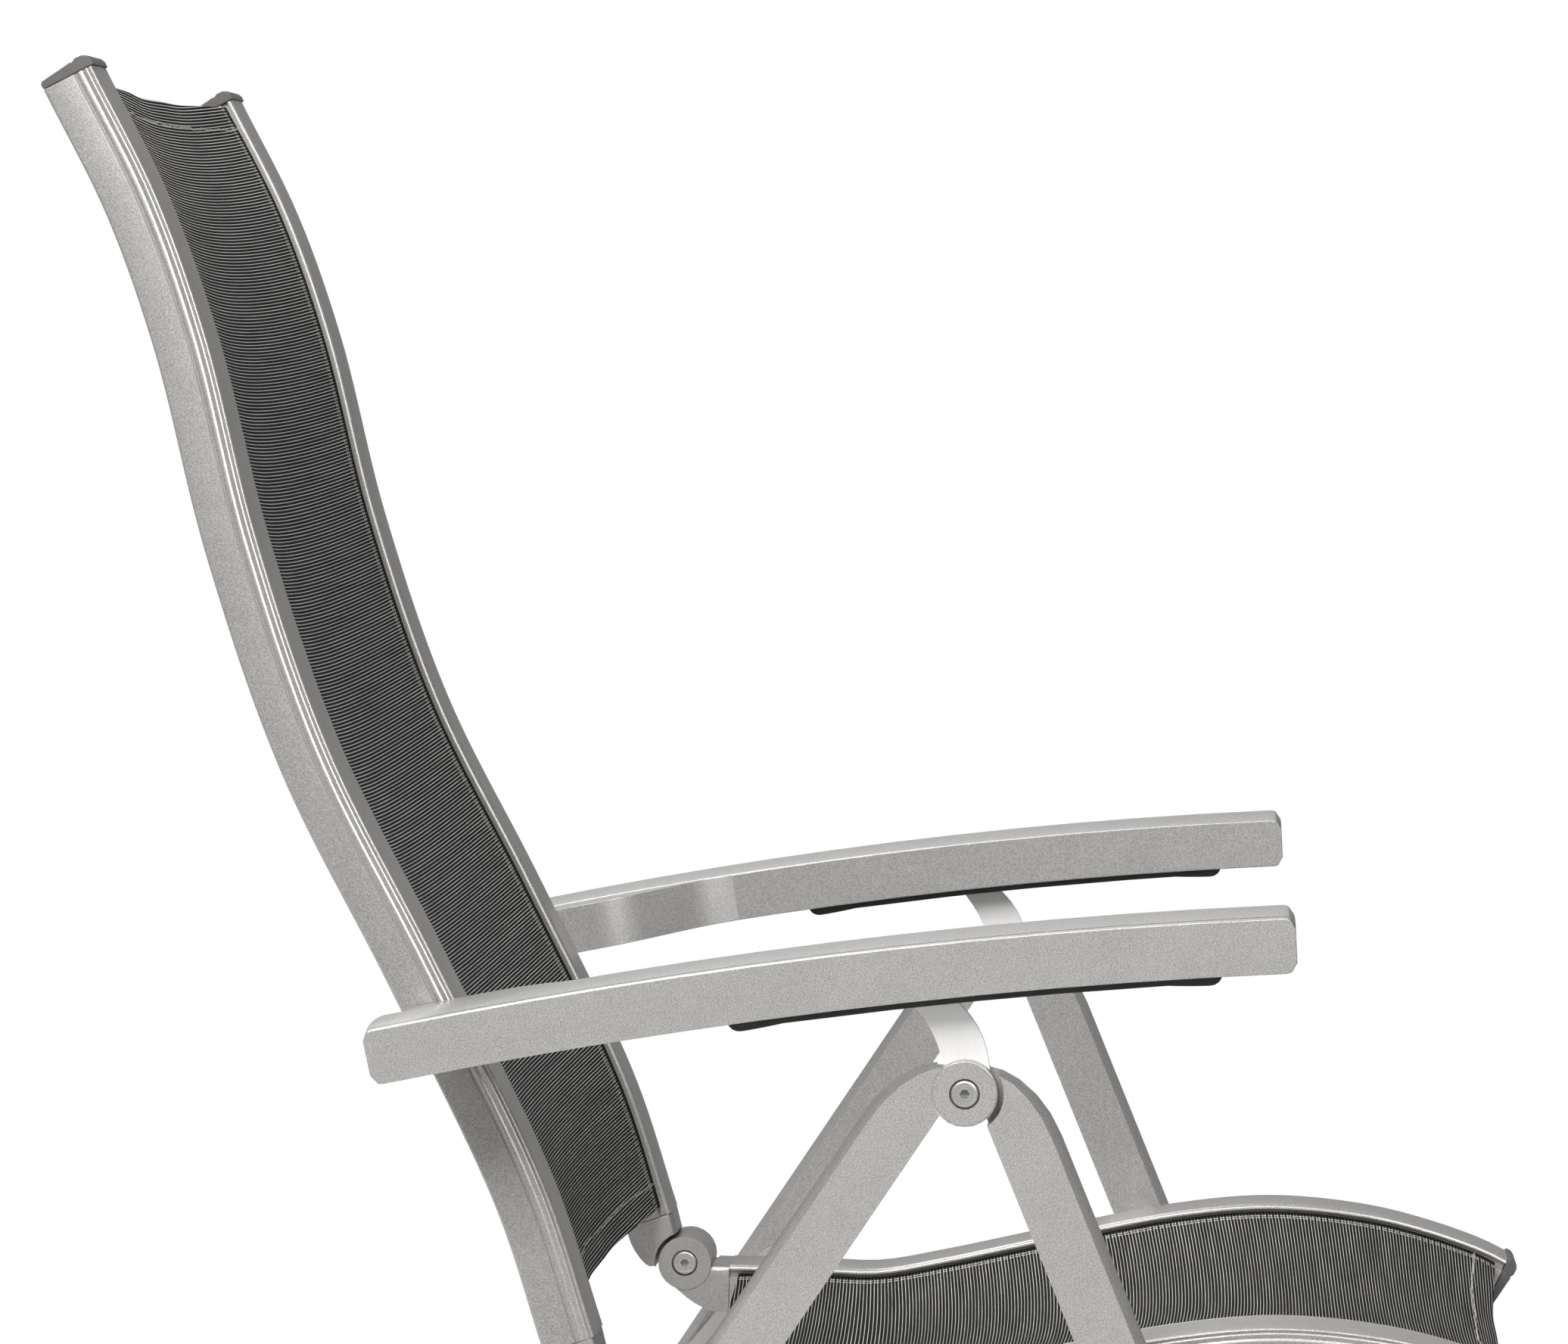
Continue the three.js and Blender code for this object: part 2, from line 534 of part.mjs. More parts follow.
function sling(curve, steps, first, last, sagAt) {
  const mouth = RAIL_SPREAD - (RAIL_WIDTH / 2) * RAIL_HALF_SHARES[belowSlot][0] - GAP;
  const edge = mouth + SLING_TUCK;
  const columns = [-edge, ...spaced(-mouth, mouth, SLING_COLUMNS), edge];
  const rows = [first];
  for (let k = Math.ceil(first + SLOT_TOP_SHARE); k <= last - SLOT_TOP_SHARE; k += 1) rows.push(k);
  rows.push(last);
  const seatDepth = (-RAIL_DEPTH * (SLOT_TOP_SHARE + SLOT_FLOOR_SHARE)) / 2;
  const positions = [];
  [1, -1].forEach((face) => rows.forEach((step) => {
    const station = stationOn(curve, steps, step);
    const sag = sagAt((step - first) / (last - first));
    columns.forEach((x) => {
      const share = Math.min(Math.abs(x) / mouth, 1);
      const depth = seatDepth - sag * (1 - share * share) + (face * SLING_THICKNESS) / 2;
      const [y, z] = offset(station, depth);
      positions.push(x, y, z);
    });
  }));
  const wide = columns.length;
  const long = rows.length;
  const at = (face, row, column) => (face * long + row) * wide + column;
  const index = [];
  const quad = (a, b, c, d) => index.push(a, b, c, a, c, d);
  for (let r = 0; r + 1 < long; r += 1) {
    for (let c = 0; c + 1 < wide; c += 1) {
      quad(at(0, r, c), at(0, r, c + 1), at(0, r + 1, c + 1), at(0, r + 1, c));
      quad(at(1, r, c), at(1, r + 1, c), at(1, r + 1, c + 1), at(1, r, c + 1));
    }
    quad(at(0, r, 0), at(0, r + 1, 0), at(1, r + 1, 0), at(1, r, 0));
    quad(at(0, r, wide - 1), at(1, r, wide - 1), at(1, r + 1, wide - 1), at(0, r + 1, wide - 1));
  }
  for (let c = 0; c + 1 < wide; c += 1) {
    quad(at(0, 0, c), at(1, 0, c), at(1, 0, c + 1), at(0, 0, c + 1));
    quad(at(0, long - 1, c), at(0, long - 1, c + 1), at(1, long - 1, c + 1), at(1, long - 1, c));
  }
  const geometry = new THREE.BufferGeometry();
  geometry.setAttribute('position', new THREE.Float32BufferAttribute(positions, 3));
  geometry.setIndex(index);
  return geometry;
}

function backSling() {
  const perStep = backCurve().getLength() / BACK_STEPS;
  return sling(backCurve(), BACK_STEPS, SLING_END_MARGIN / perStep, BACK_STEPS - SLING_TOP_MARGIN / perStep,
    (share) => BACK_SAG_FOOT + (BACK_SAG_TOP - BACK_SAG_FOOT) * share);
}

function seatSling() {
  const perStep = seatCurve().getLength() / SEAT_STEPS;
  const margin = SLING_END_MARGIN / perStep;
  return sling(seatCurve(), SEAT_STEPS, margin, SEAT_STEPS - margin, () => SEAT_SAG);
}

// Spreader tubes between the rails

function spreader(curve, steps, share) {
  const station = stationOn(curve, steps, share * steps);
  const end = offset(station, -SPREADER_SETBACK);
  const away = station.out.map((value) => -value);
  const path = new Bow(railInner - GAP, end, away, SPREADER_BOW);
  return sweep(ringShape(SPREADER_RADIUS, SPREADER_SIDES), path, SPREADER_STEPS);
}

// Legs

function legOutline(frame, crown) {
  const outer = LEG_INSET + LEG_DEPTH + crown;
  const foot = FOOT_HEIGHT + GAP;
  const turn = spaced(0, Math.PI / 2, LEG_BEND_STEPS).map((angle) => {
    const fall = LEG_BEND_FALL + crown;
    return frame.at(LEG_BEND - LEG_BEND_RUN * Math.sin(angle), outer - fall * (1 - Math.cos(angle)));
  });
  return counterClockwise([
    frame.at(LEG_BEND - LEG_BEND_RUN, LEG_INSET),
    frame.at(frame.alongAt(foot, LEG_INSET), LEG_INSET),
    frame.at(frame.alongAt(foot, outer), outer), ...turn,
  ]);
}

const legStations = (side, shares) =>
  shares.map((share) => side.sign * legSpread + (share * LEG_THICKNESS) / 2);
const crownAt = (share) => LEG_CROWN * (1 - share * share);
const eyeSeam = legOuter - LEG_THICKNESS * OUTER_EYE_SHARE;
const stayInner = eyeSeam - GAP - STAY_THICKNESS;

function leg(side, frame) {
  const bar = stack(legStations(side, CROWN_STATION_SHARES),
    (x) => legOutline(frame, crownAt((x - side.sign * legSpread) / (LEG_THICKNESS / 2))));
  const [inner, outer] = [LEG_INSET + LEG_WALL, LEG_INSET + LEG_DEPTH - LEG_WALL];
  const foot = (across) => frame.at(frame.alongAt(-FOOT_HEIGHT, across), across);
  const hollow = [frame.at(LEG_SOLID_TOP, inner), foot(inner), foot(outer), frame.at(LEG_SOLID_TOP, outer)];
  const half = LEG_THICKNESS / 2 - LEG_WALL;
  const x = side.sign * legSpread;
  return cut(bar, plate(hollow, x - half, x + half));
}

function frontLeg(side) {
  const s = side.sign;
  const trimmed = cut(leg(side, frontFrame),
    rod(EYE_RADIUS + EYE_GAP, s * (stayInner - GAP), s * (legOuter + OVERRUN), legPivot));
  return cut(join(trimmed, rod(EYE_RADIUS, s * legInner, s * (stayInner - GAP), legPivot)),
    rod(SHANK_RADIUS + GAP, s * (legInner - OVERRUN), s * (legOuter + OVERRUN), legPivot),
    rod(SHANK_RADIUS + GAP, s * (legInner - OVERRUN), s * (legOuter + OVERRUN), seatPivot));
}

function rearLeg(side) {
  const s = side.sign;
  const trimmed = cut(leg(side, rearFrame),
    rod(EYE_RADIUS + EYE_GAP, s * (legInner - OVERRUN), s * eyeSeam, legPivot));
  return cut(join(trimmed, rod(EYE_RADIUS, s * eyeSeam, s * legOuter, legPivot)),
    rod(SHANK_RADIUS + GAP, s * (legInner - OVERRUN), s * (legOuter + OVERRUN), legPivot),
    rod(HEAD_RADIUS + HEAD_RING, s * (legOuter - HEAD_RECESS - HEAD_HEIGHT - GAP),
      s * (legOuter + OVERRUN), legPivot));
}

function foot(side, frame) {
  const [inner, outer] = [LEG_INSET - FOOT_WALL, LEG_INSET + LEG_DEPTH + LEG_CROWN + FOOT_WALL];
  const at = (height, across) => frame.at(frame.alongAt(height, across), across);
  const pad = counterClockwise([at(0, inner), at(0, outer), at(FOOT_HEIGHT, outer), at(FOOT_HEIGHT, inner)]);
  const x = side.sign * legSpread;
  const half = LEG_THICKNESS / 2 + FOOT_WALL;
  const slack = LEG_WALL + TONGUE_CLEARANCE;
  const [low, high] = [LEG_INSET + slack, LEG_INSET + LEG_DEPTH - slack];
  const plug = counterClockwise([
    at(FOOT_HEIGHT / 2, low), at(FOOT_HEIGHT / 2, high),
    at(FOOT_HEIGHT + PLUG_LENGTH, high), at(FOOT_HEIGHT + PLUG_LENGTH, low),
  ]);
  const plugHalf = LEG_THICKNESS / 2 - slack;
  return join(plate(pad, x - half, x + half), plate(plug, x - plugHalf, x + plugHalf));
}

function crossTube(frame) {
  const across = LEG_INSET + LEG_DEPTH / 2;
  const place = frame.at(frame.alongAt(CROSS_TUBE_HEIGHT, across), across);
  const half = legInner - GAP;
  return cut(rod(CROSS_TUBE_RADIUS, -half, half, place),
    rod(CROSS_TUBE_RADIUS - CROSS_TUBE_WALL, -half - OVERRUN, half + OVERRUN, place));
}

function legPivotBolt(side) {
  const s = side.sign;
  return screw(legPivot, s * (legOuter - HEAD_RECESS), s * (legInner - GAP - HEAD_HEIGHT), HEAD_HEIGHT);
}

function seatPivotBolt(side) {
  const s = side.sign;
  const [from, to] = [legOuter + GAP + HEAD_HEIGHT, railInner - GAP - HEAD_HEIGHT];
  const bolt = screw(seatPivot, s * from, s * to, HEAD_HEIGHT);
  return join(bolt, rod(SPACER_RADIUS, s * (railOuter + GAP), s * (legInner - GAP), seatPivot));
}

// Stay: a flat steel strap with an eye at the leg pivot and a round head at its pin

function stay(side) {
  const chord = [stayPin[0] - legPivot[0], stayPin[1] - legPivot[1]];
  const length = Math.hypot(...chord);
  const normal = [-chord[1] / length, chord[0] / length];
  const edge = (sign, width) => spaced(0, 1, STAY_STEPS).map((t) => {
    const bow = STAY_BULGE * Math.sin(Math.PI * t);
    const reach = bow + sign * (width + (STAY_HEAD_RADIUS - width) * t * t);
    return [legPivot[0] + chord[0] * t + normal[0] * reach, legPivot[1] + chord[1] * t + normal[1] * reach];
  });
  const outline = counterClockwise([...edge(1, STAY_FRONT_WIDTH), ...edge(-1, STAY_REAR_WIDTH).reverse()]);
  const s = side.sign;
  const [x0, x1] = [s * stayInner, s * (stayInner + STAY_THICKNESS)];
  const ends = [rod(STAY_EYE_RADIUS, x0, x1, legPivot), rod(STAY_HEAD_RADIUS, x0, x1, stayPin)];
  return cut(join(plate(outline, x0, x1), ...ends),
    rod(SHANK_RADIUS + GAP, s * (legInner - OVERRUN), s * (legOuter + OVERRUN), legPivot),
    rod(PIN_RADIUS + GAP, s * (legInner - OVERRUN), s * (legOuter + OVERRUN), stayPin));
}

function stayPinRod(side) {
  const middle = side.sign * (stayInner + STAY_THICKNESS / 2);
  return rod(PIN_RADIUS, middle - PIN_LENGTH / 2, middle + PIN_LENGTH / 2, stayPin);
}

// Armrest

// A place in the YZ plane: how far in front of the armrest's rear end, and how far below its top edge
function armPoint(forward, below) {
  const t = forward / ARM_REACH;
  const y = armPivot[0] + ARM_TAIL_BACK - forward;
  const z = armPivot[1] + ARM_TAIL_RISE + t * ARM_RISE + 4 * ARM_BOW * t * (1 - t);
  const slope = (ARM_RISE + 4 * ARM_BOW * (1 - 2 * t)) / ARM_REACH;
  const length = Math.hypot(1, slope);
  return [y - (slope / length) * below, z - below / length];
}

function armOutline(crown) {
  const corner = (forwardEnd, sign, below, up) => ARM_CORNER_SHARES.map((share) => {
    const angle = (Math.PI / 2) * share;
    const [inset, lift] = [ARM_CORNER * (1 - Math.sin(angle)), ARM_CORNER * (1 - Math.cos(angle))];
    return [forwardEnd + sign * inset, below + up * lift];
  });
  const [top, floor] = [-crown, ARM_HEIGHT];
  const run = spaced(ARM_CORNER * 2, ARM_REACH - ARM_CORNER * 2, ARM_STEPS);
  const path = [
    ...corner(0, 1, floor, -1), ...corner(0, 1, top, 1).reverse(),
    ...run.map((forward) => [forward, top]),
    ...corner(ARM_REACH, -1, top, 1), ...corner(ARM_REACH, -1, floor, -1).reverse(),
    ...run.slice().reverse().map((forward) => [forward, floor]),
  ];
  return counterClockwise(path.map(([forward, below]) => armPoint(forward, below)));
}

// A band that follows the armrest's underside; heights are measured up from the underside
const underBand = (from, to, low, high, count) => underStrip(spaced(from, to, count), low, high);

function underStrip(stops, low, high) {
  return counterClockwise([
    ...stops.map((forward) => armPoint(forward, ARM_HEIGHT - low(forward))),
    ...stops.slice().reverse().map((forward) => armPoint(forward, ARM_HEIGHT - high(forward))),
  ]);
}

const rackEnd = RACK_START + RACK_LENGTH;

function armrest(side) {
  const stations = ARM_STATION_SHARES.map((share) => side.sign * legSpread + (share * ARM_WIDTH) / 2);
  const body = stack(stations, (x) => {
    const share = (x - side.sign * legSpread) / (ARM_WIDTH / 2);
    return armOutline(ARM_CROWN * (1 - share ** 4));
  });
  const x = side.sign * legSpread;
  const half = RACK_WIDTH / 2 + GAP;
  const channel = underBand(RACK_START - GAP, rackEnd + GAP,
    () => -OVERRUN, () => RACK_TOP + GAP, RACK_STEPS);
  const inside = ARM_WIDTH / 2 - ARM_WALL * 2;
  const hollow = underBand(ARM_WALL * 2, ARM_REACH - ARM_WALL * 2,
    () => ARM_WALL, () => ARM_HEIGHT - ARM_WALL, RACK_STEPS);
  return cut(body, plate(hollow, x - inside, x + inside), plate(channel, x - half, x + half));
}

function rack(side) {
  const middle = side.sign * (stayInner + STAY_THICKNESS / 2);
  const x = side.sign * legSpread;
  const drop = (forward) => {
    const fromEnd = Math.min(forward - RACK_START, rackEnd - forward);
    const share = Math.min(fromEnd / RACK_END_RUN, 1);
    const nose = Math.min(fromEnd / RACK_NOSE, 1);
    const depth = RACK_END_DROP + (RACK_DROP - RACK_END_DROP) * share * share;
    return -depth * Math.sqrt(Math.max(1 - (1 - nose) ** 2, 0));
  };
  const ends = [
    ...spaced(0, Math.PI / 2, RACK_NOSE_STEPS).map((angle) => RACK_NOSE * (1 - Math.cos(angle))),
    ...spaced(RACK_NOSE, RACK_END_RUN, RACK_END_STEPS).slice(1),
  ];
  const middles = spaced(RACK_START + RACK_END_RUN, rackEnd - RACK_END_RUN, RACK_STEPS).slice(1, -1);
  const stops = [
    ...ends.map((inset) => RACK_START + inset), ...middles, ...ends.map((inset) => rackEnd - inset).reverse(),
  ];
  const body = underStrip(stops, drop, () => RACK_TOP);
  const [from, to] = [RACK_START + RACK_ENDWALL, rackEnd - RACK_ENDWALL];
  const pitch = (to - from) / TOOTH_COUNT;
  const toothed = (forward) => {
    const phase = ((forward - from) / pitch) % 1;
    return TOOTH_TIP + (phase < TOOTH_SHARE ? 0 : TOOTH_HEIGHT);
  };
  const chamber = underBand(from, to, () => -RACK_END_DROP - OVERRUN, toothed, TOOTH_COUNT * STEPS_PER_TOOTH);
  const slit = underBand(from, to, () => 0, () => RACK_TOP + OVERRUN, RACK_STEPS);
  const [half, inside, narrow] = [RACK_WIDTH / 2, RACK_CHAMBER_WIDTH / 2, RACK_SLIT / 2];
  return cut(plate(body, x - half, x + half), plate(chamber, middle - inside, middle + inside),
    plate(slit, middle - narrow, middle + narrow));
}

// The casting between the armrest and the back rail: it lies flush with the armrest's top edge and
// underside, and flares from the rail into the armrest's side
function armKnuckle(side) {
  const [narrow, wide] = [railOuter + PIVOT_GAP, armInner - GAP];
  const start = ARM_TAIL_BACK - KNUCKLE_TAIL;
  const stations = spaced(0, Math.PI, FLARE_STEPS).map((angle) => ({
    x: narrow + ((wide - narrow) * (1 - Math.cos(angle))) / 2,
    end: ARM_TAIL_BACK + KNUCKLE_NOSE + ((KNUCKLE_LENGTH - KNUCKLE_NOSE) * angle) / Math.PI,
  }));
  const ordered = side.sign < 0 ? stations.reverse() : stations;
  const body = stack(ordered.map(({ x }) => side.sign * x), (at) => {
    const { end } = ordered.find(({ x }) => side.sign * x === at);
    return underBand(start, end, () => 0, () => ARM_HEIGHT, KNUCKLE_STEPS);
  });
  const [x0, x1] = [narrow - OVERRUN, wide + OVERRUN].map((x) => side.sign * x);
  return cut(body, rod(BUSH_RADIUS + GAP, x0, x1, armPivot));
}

function armBush(side) {
  const [x0, x1] = [railOuter + PIVOT_GAP, armInner - GAP].map((x) => side.sign * x);
  return cut(rod(BUSH_RADIUS, x0, x1, armPivot),
    rod(SHANK_RADIUS + GAP, x0 - side.sign * OVERRUN, x1 + side.sign * OVERRUN, armPivot));
}

function armBolt(side) {
  const s = side.sign;
  const bolt = screw(armPivot, s * (railInner - GAP - HEAD_HEIGHT), s * (armInner - GAP), HEAD_HEIGHT);
  const nutStart = armInner - GAP - HEAD_HEIGHT;
  const nut = rod(HEAD_RADIUS + OVERRUN, s * nutStart, s * (armInner + OVERRUN), armPivot);
  return join(cut(bolt, nut), rod(SHANK_RADIUS, s * railInner, s * (armInner - GAP), armPivot));
}

// The seat's pin and the slotted plate that it slides in on the rear leg

function seatSlidePin(side) {
  const s = side.sign;
  const pin = rod(SLIDE_RADIUS, s * (railInner - GAP - HEAD_HEIGHT), s * (legInner - GAP * 2), slidePin);
  return join(pin, rod(HEAD_RADIUS, s * (railInner - GAP - HEAD_HEIGHT), s * (railInner - GAP), slidePin),
    rod(HEAD_RADIUS, s * (railOuter + GAP), s * (legInner - TRACK_THICKNESS - GAP * 2), slidePin));
}

function turned([y, z], [cy, cz], angle) {
  const [c, s] = [Math.cos(radians(angle)), Math.sin(radians(angle))];
  return [cy + c * (y - cy) - s * (z - cz), cz + s * (y - cy) + c * (z - cz)];
}

// The slot follows the pin as the seat and the rear legs fold together
function slideTrack(side) {
  const pinAt = (share) =>
    turned(turned(slidePin, seatPivot, -FOLD_SEAT_DEG * share), legPivot, FOLD_LEGS_DEG * share);
  const path = new THREE.CatmullRomCurve3(
    spaced(0, 1, TRACK_STOPS).map((share) => new THREE.Vector3(0, ...pinAt(share))));
  const edge = (half, sign) => spaced(0, 1, TRACK_STOPS).map((t) => {
    const [point, run] = [path.getPointAt(t), path.getTangentAt(t)];
    return [point.y - sign * half * run.z, point.z + sign * half * run.y];
  });
  const tip = (half, t, sign) => {
    const [point, run] = [path.getPointAt(t), path.getTangentAt(t)];
    return [-1, 0, 1].map((turn) => {
      const angle = (Math.PI / 4) * turn;
      const [along, aside] = [sign * half * Math.cos(angle), sign * half * Math.sin(angle)];
      return [point.y + along * run.y + aside * run.z, point.z + along * run.z - aside * run.y];
    });
  };
  const band = (half) => counterClockwise([
    ...edge(half, 1), ...tip(half, 1, 1), ...edge(half, -1).reverse(), ...tip(half, 0, -1),
  ]);
  const [x0, x1] = [legInner - TRACK_THICKNESS - GAP, legInner - GAP].map((x) => side.sign * x);
  const over = side.sign * OVERRUN;
  const slotHalf = SLIDE_RADIUS + SLIDE_PLAY;
  return cut(plate(band(slotHalf + TRACK_RIM), x0, x1), plate(band(slotHalf), x0 - over, x1 + over));
}

// The chair

const chair = new THREE.Group();

function add(name, geometry, material) {
  const mesh = new THREE.Mesh(geometry, material);
  mesh.name = name;
  chair.add(mesh);
}

SIDES.forEach((side) => {
  const named = (name) => `${name}_${side.name}`;
  add(named('back_rail'), backRail(side), paintedAluminium());
  add(named('back_rail_cap'), railCap(side, backCurve(), BACK_STEPS, BACK_STEPS), darkPlastic());
  add(named('back_knuckle'), backKnuckle(side), castAluminium());
  add(named('seat_rail'), seatRail(side), paintedAluminium());
  add(named('seat_rail_cap'), railCap(side, seatCurve(), SEAT_STEPS, 0), darkPlastic());
  add(named('seat_knuckle'), seatKnuckle(side), castAluminium());
  add(named('hinge_bolt'), hingeBolt(side), zincScrew());
  add(named('front_leg'), frontLeg(side), paintedAluminium());
  add(named('rear_leg'), rearLeg(side), paintedAluminium());
  add(named('front_foot'), foot(side, frontFrame), darkPlastic());
  add(named('rear_foot'), foot(side, rearFrame), darkPlastic());
  add(named('leg_pivot_bolt'), legPivotBolt(side), zincScrew());
  add(named('seat_pivot_bolt'), seatPivotBolt(side), zincScrew());
  add(named('stay'), stay(side), brushedSteel());
  add(named('stay_pin'), stayPinRod(side), brushedSteel());
  add(named('armrest'), armrest(side), paintedAluminium());
  add(named('armrest_rack'), rack(side), blackPlastic());
  add(named('armrest_knuckle'), armKnuckle(side), castAluminium());
  add(named('armrest_bush'), armBush(side), zincScrew());
  add(named('armrest_bolt'), armBolt(side), zincScrew());
  add(named('seat_slide_pin'), seatSlidePin(side), brushedSteel());
  add(named('slide_track'), slideTrack(side), brushedSteel());
});

add('back_sling', backSling(), slingCloth());
add('seat_sling', seatSling(), slingCloth());
['lower', 'upper'].forEach((place, i) => {
  const tube = spreader(backCurve(), BACK_STEPS, BACK_SPREADER_SHARES[i]);
  add(`back_spreader_${place}`, tube, paintedAluminium());
});
['front', 'rear'].forEach((place, i) => {
  const tube = spreader(seatCurve(), SEAT_STEPS, SEAT_SPREADER_SHARES[i]);
  add(`seat_spreader_${place}`, tube, paintedAluminium());
});
add('front_cross_tube', crossTube(frontFrame), paintedAluminium());
add('rear_cross_tube', crossTube(rearFrame), paintedAluminium());

// The origin is the middle of the chair's footprint, on the floor
const reach = new THREE.Box3().setFromObject(chair);
chair.position.y = -(reach.min.y + reach.max.y) / 2;
const part = new THREE.Group();
part.add(chair);

export default part;
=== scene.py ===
import json
import math

import bpy
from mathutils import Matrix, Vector


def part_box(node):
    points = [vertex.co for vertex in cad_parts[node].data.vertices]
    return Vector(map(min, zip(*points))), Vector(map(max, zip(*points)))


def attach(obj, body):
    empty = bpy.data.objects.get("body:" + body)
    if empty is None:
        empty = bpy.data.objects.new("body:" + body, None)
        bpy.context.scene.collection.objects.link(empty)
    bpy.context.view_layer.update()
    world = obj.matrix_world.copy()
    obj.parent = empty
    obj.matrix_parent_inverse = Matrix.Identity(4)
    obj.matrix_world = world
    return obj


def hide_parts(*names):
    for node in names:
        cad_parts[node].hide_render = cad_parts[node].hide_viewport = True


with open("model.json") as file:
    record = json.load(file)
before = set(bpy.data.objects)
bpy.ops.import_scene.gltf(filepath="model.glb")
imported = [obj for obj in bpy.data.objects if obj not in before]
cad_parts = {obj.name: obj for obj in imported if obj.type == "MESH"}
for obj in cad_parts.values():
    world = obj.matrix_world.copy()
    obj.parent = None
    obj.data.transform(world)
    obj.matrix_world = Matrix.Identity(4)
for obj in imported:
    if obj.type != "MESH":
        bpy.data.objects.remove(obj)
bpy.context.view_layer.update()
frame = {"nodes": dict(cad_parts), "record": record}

MM = 0.001
# The gap that pieces keep where they touch in the real chair
SEATED_GAP = 0.3 * MM
# From the middle of the chair to the middle of each rail, and half of a rail's width
RAIL_SPREAD = 213.6 * MM
RAIL_HALF = 20 * MM


def middle(node):
    low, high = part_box(node)
    return (Vector(low) + Vector(high)) / 2


def side_faces(node):
    """The outer and the inner end of a node across the chair."""
    low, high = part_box(node)
    return (low[0], high[0]) if node.endswith("_right") else (high[0], low[0])


HINGE = middle("hinge_bolt_right")
LEG_PIVOT = middle("leg_pivot_bolt_right")

# The camera stands at the height and distance that the photograph was taken from, on the
# chair's right.

CAMERA_PLACE = Vector((-3.1922, -0.1980, 0.9252))
CAMERA_YAW = math.radians(3.963)
CAMERA_DIP = math.radians(3.057)
CAMERA_LENS = 141.32
CAMERA_SENSOR = 36

camera_data = bpy.data.cameras.new("camera")
camera = bpy.data.objects.new("camera", camera_data)
bpy.context.collection.objects.link(camera)
camera_data.sensor_width = CAMERA_SENSOR
camera_data.lens = CAMERA_LENS
camera_data.clip_start = 0.05
camera_data.clip_end = 60
look = Vector((math.cos(CAMERA_DIP) * math.cos(CAMERA_YAW),
               math.cos(CAMERA_DIP) * math.sin(CAMERA_YAW), -math.sin(CAMERA_DIP)))
camera.location = CAMERA_PLACE
camera.rotation_euler = look.to_track_quat("-Z", "Y").to_euler()
bpy.context.scene.camera = camera


# Materials

# Roughness of every noise, and the sockets of a colour mix: share, two colours and result
LUMPS = 0.6
SHARE, UNDER, OVER, MIXED = 0, 6, 7, 2


def linear(code):
    """An sRGB hex value as linear colour with full alpha."""
    parts = [int(code[i:i + 2], 16) / 255 for i in (1, 3, 5)]
    return [c / 12.92 if c <= 0.04045 else ((c + 0.055) / 1.055) ** 2.4 for c in parts] + [1]


def add(tree, kind, inputs=None, stops=(), **settings):
    """A node with its settings. An input is a value, a socket, or a node whose first output is
    linked. A ramp's stops are pairs of place and hex value."""
    made = tree.nodes.new(kind)
    for key, value in settings.items():
        setattr(made, key, value)
    for key, value in (inputs or {}).items():
        if isinstance(value, bpy.types.Node):
            value = value.outputs[0]
        if isinstance(value, bpy.types.NodeSocket):
            tree.links.new(value, made.inputs[key])
        else:
            made.inputs[key].default_value = value
    if stops:
        elements = made.color_ramp.elements
        while len(elements) < len(stops):
            elements.new(0.5)
        for element, (place, code) in zip(elements, stops):
            element.position = place
            element.color = linear(code)
    return made


def new_material(name, values):
    """A material with its surface shader, whose plain values are set on its own sockets."""
    material = bpy.data.materials.new(name)
    material.use_nodes = True
    tree = material.node_tree
    tree.nodes.clear()
    shader = add(tree, "ShaderNodeBsdfPrincipled", values)
    add(tree, "ShaderNodeOutputMaterial", {"Surface": shader})
    return material, tree, shader


def dress(tree, shader, colour, bump):
    tree.links.new(colour, shader.inputs["Base Color"])
    tree.links.new(bump.outputs[0], shader.inputs["Normal"])


FLAKE = 0.6 * MM
PEEL = 4 * MM
CLOUD = 24 * MM
# Place and half width of the painted groove shade on the armrest's top
GROOVE_SHADE_PLACE = 322 * MM
GROOVE_SHADE_HALF = 0.45 * MM


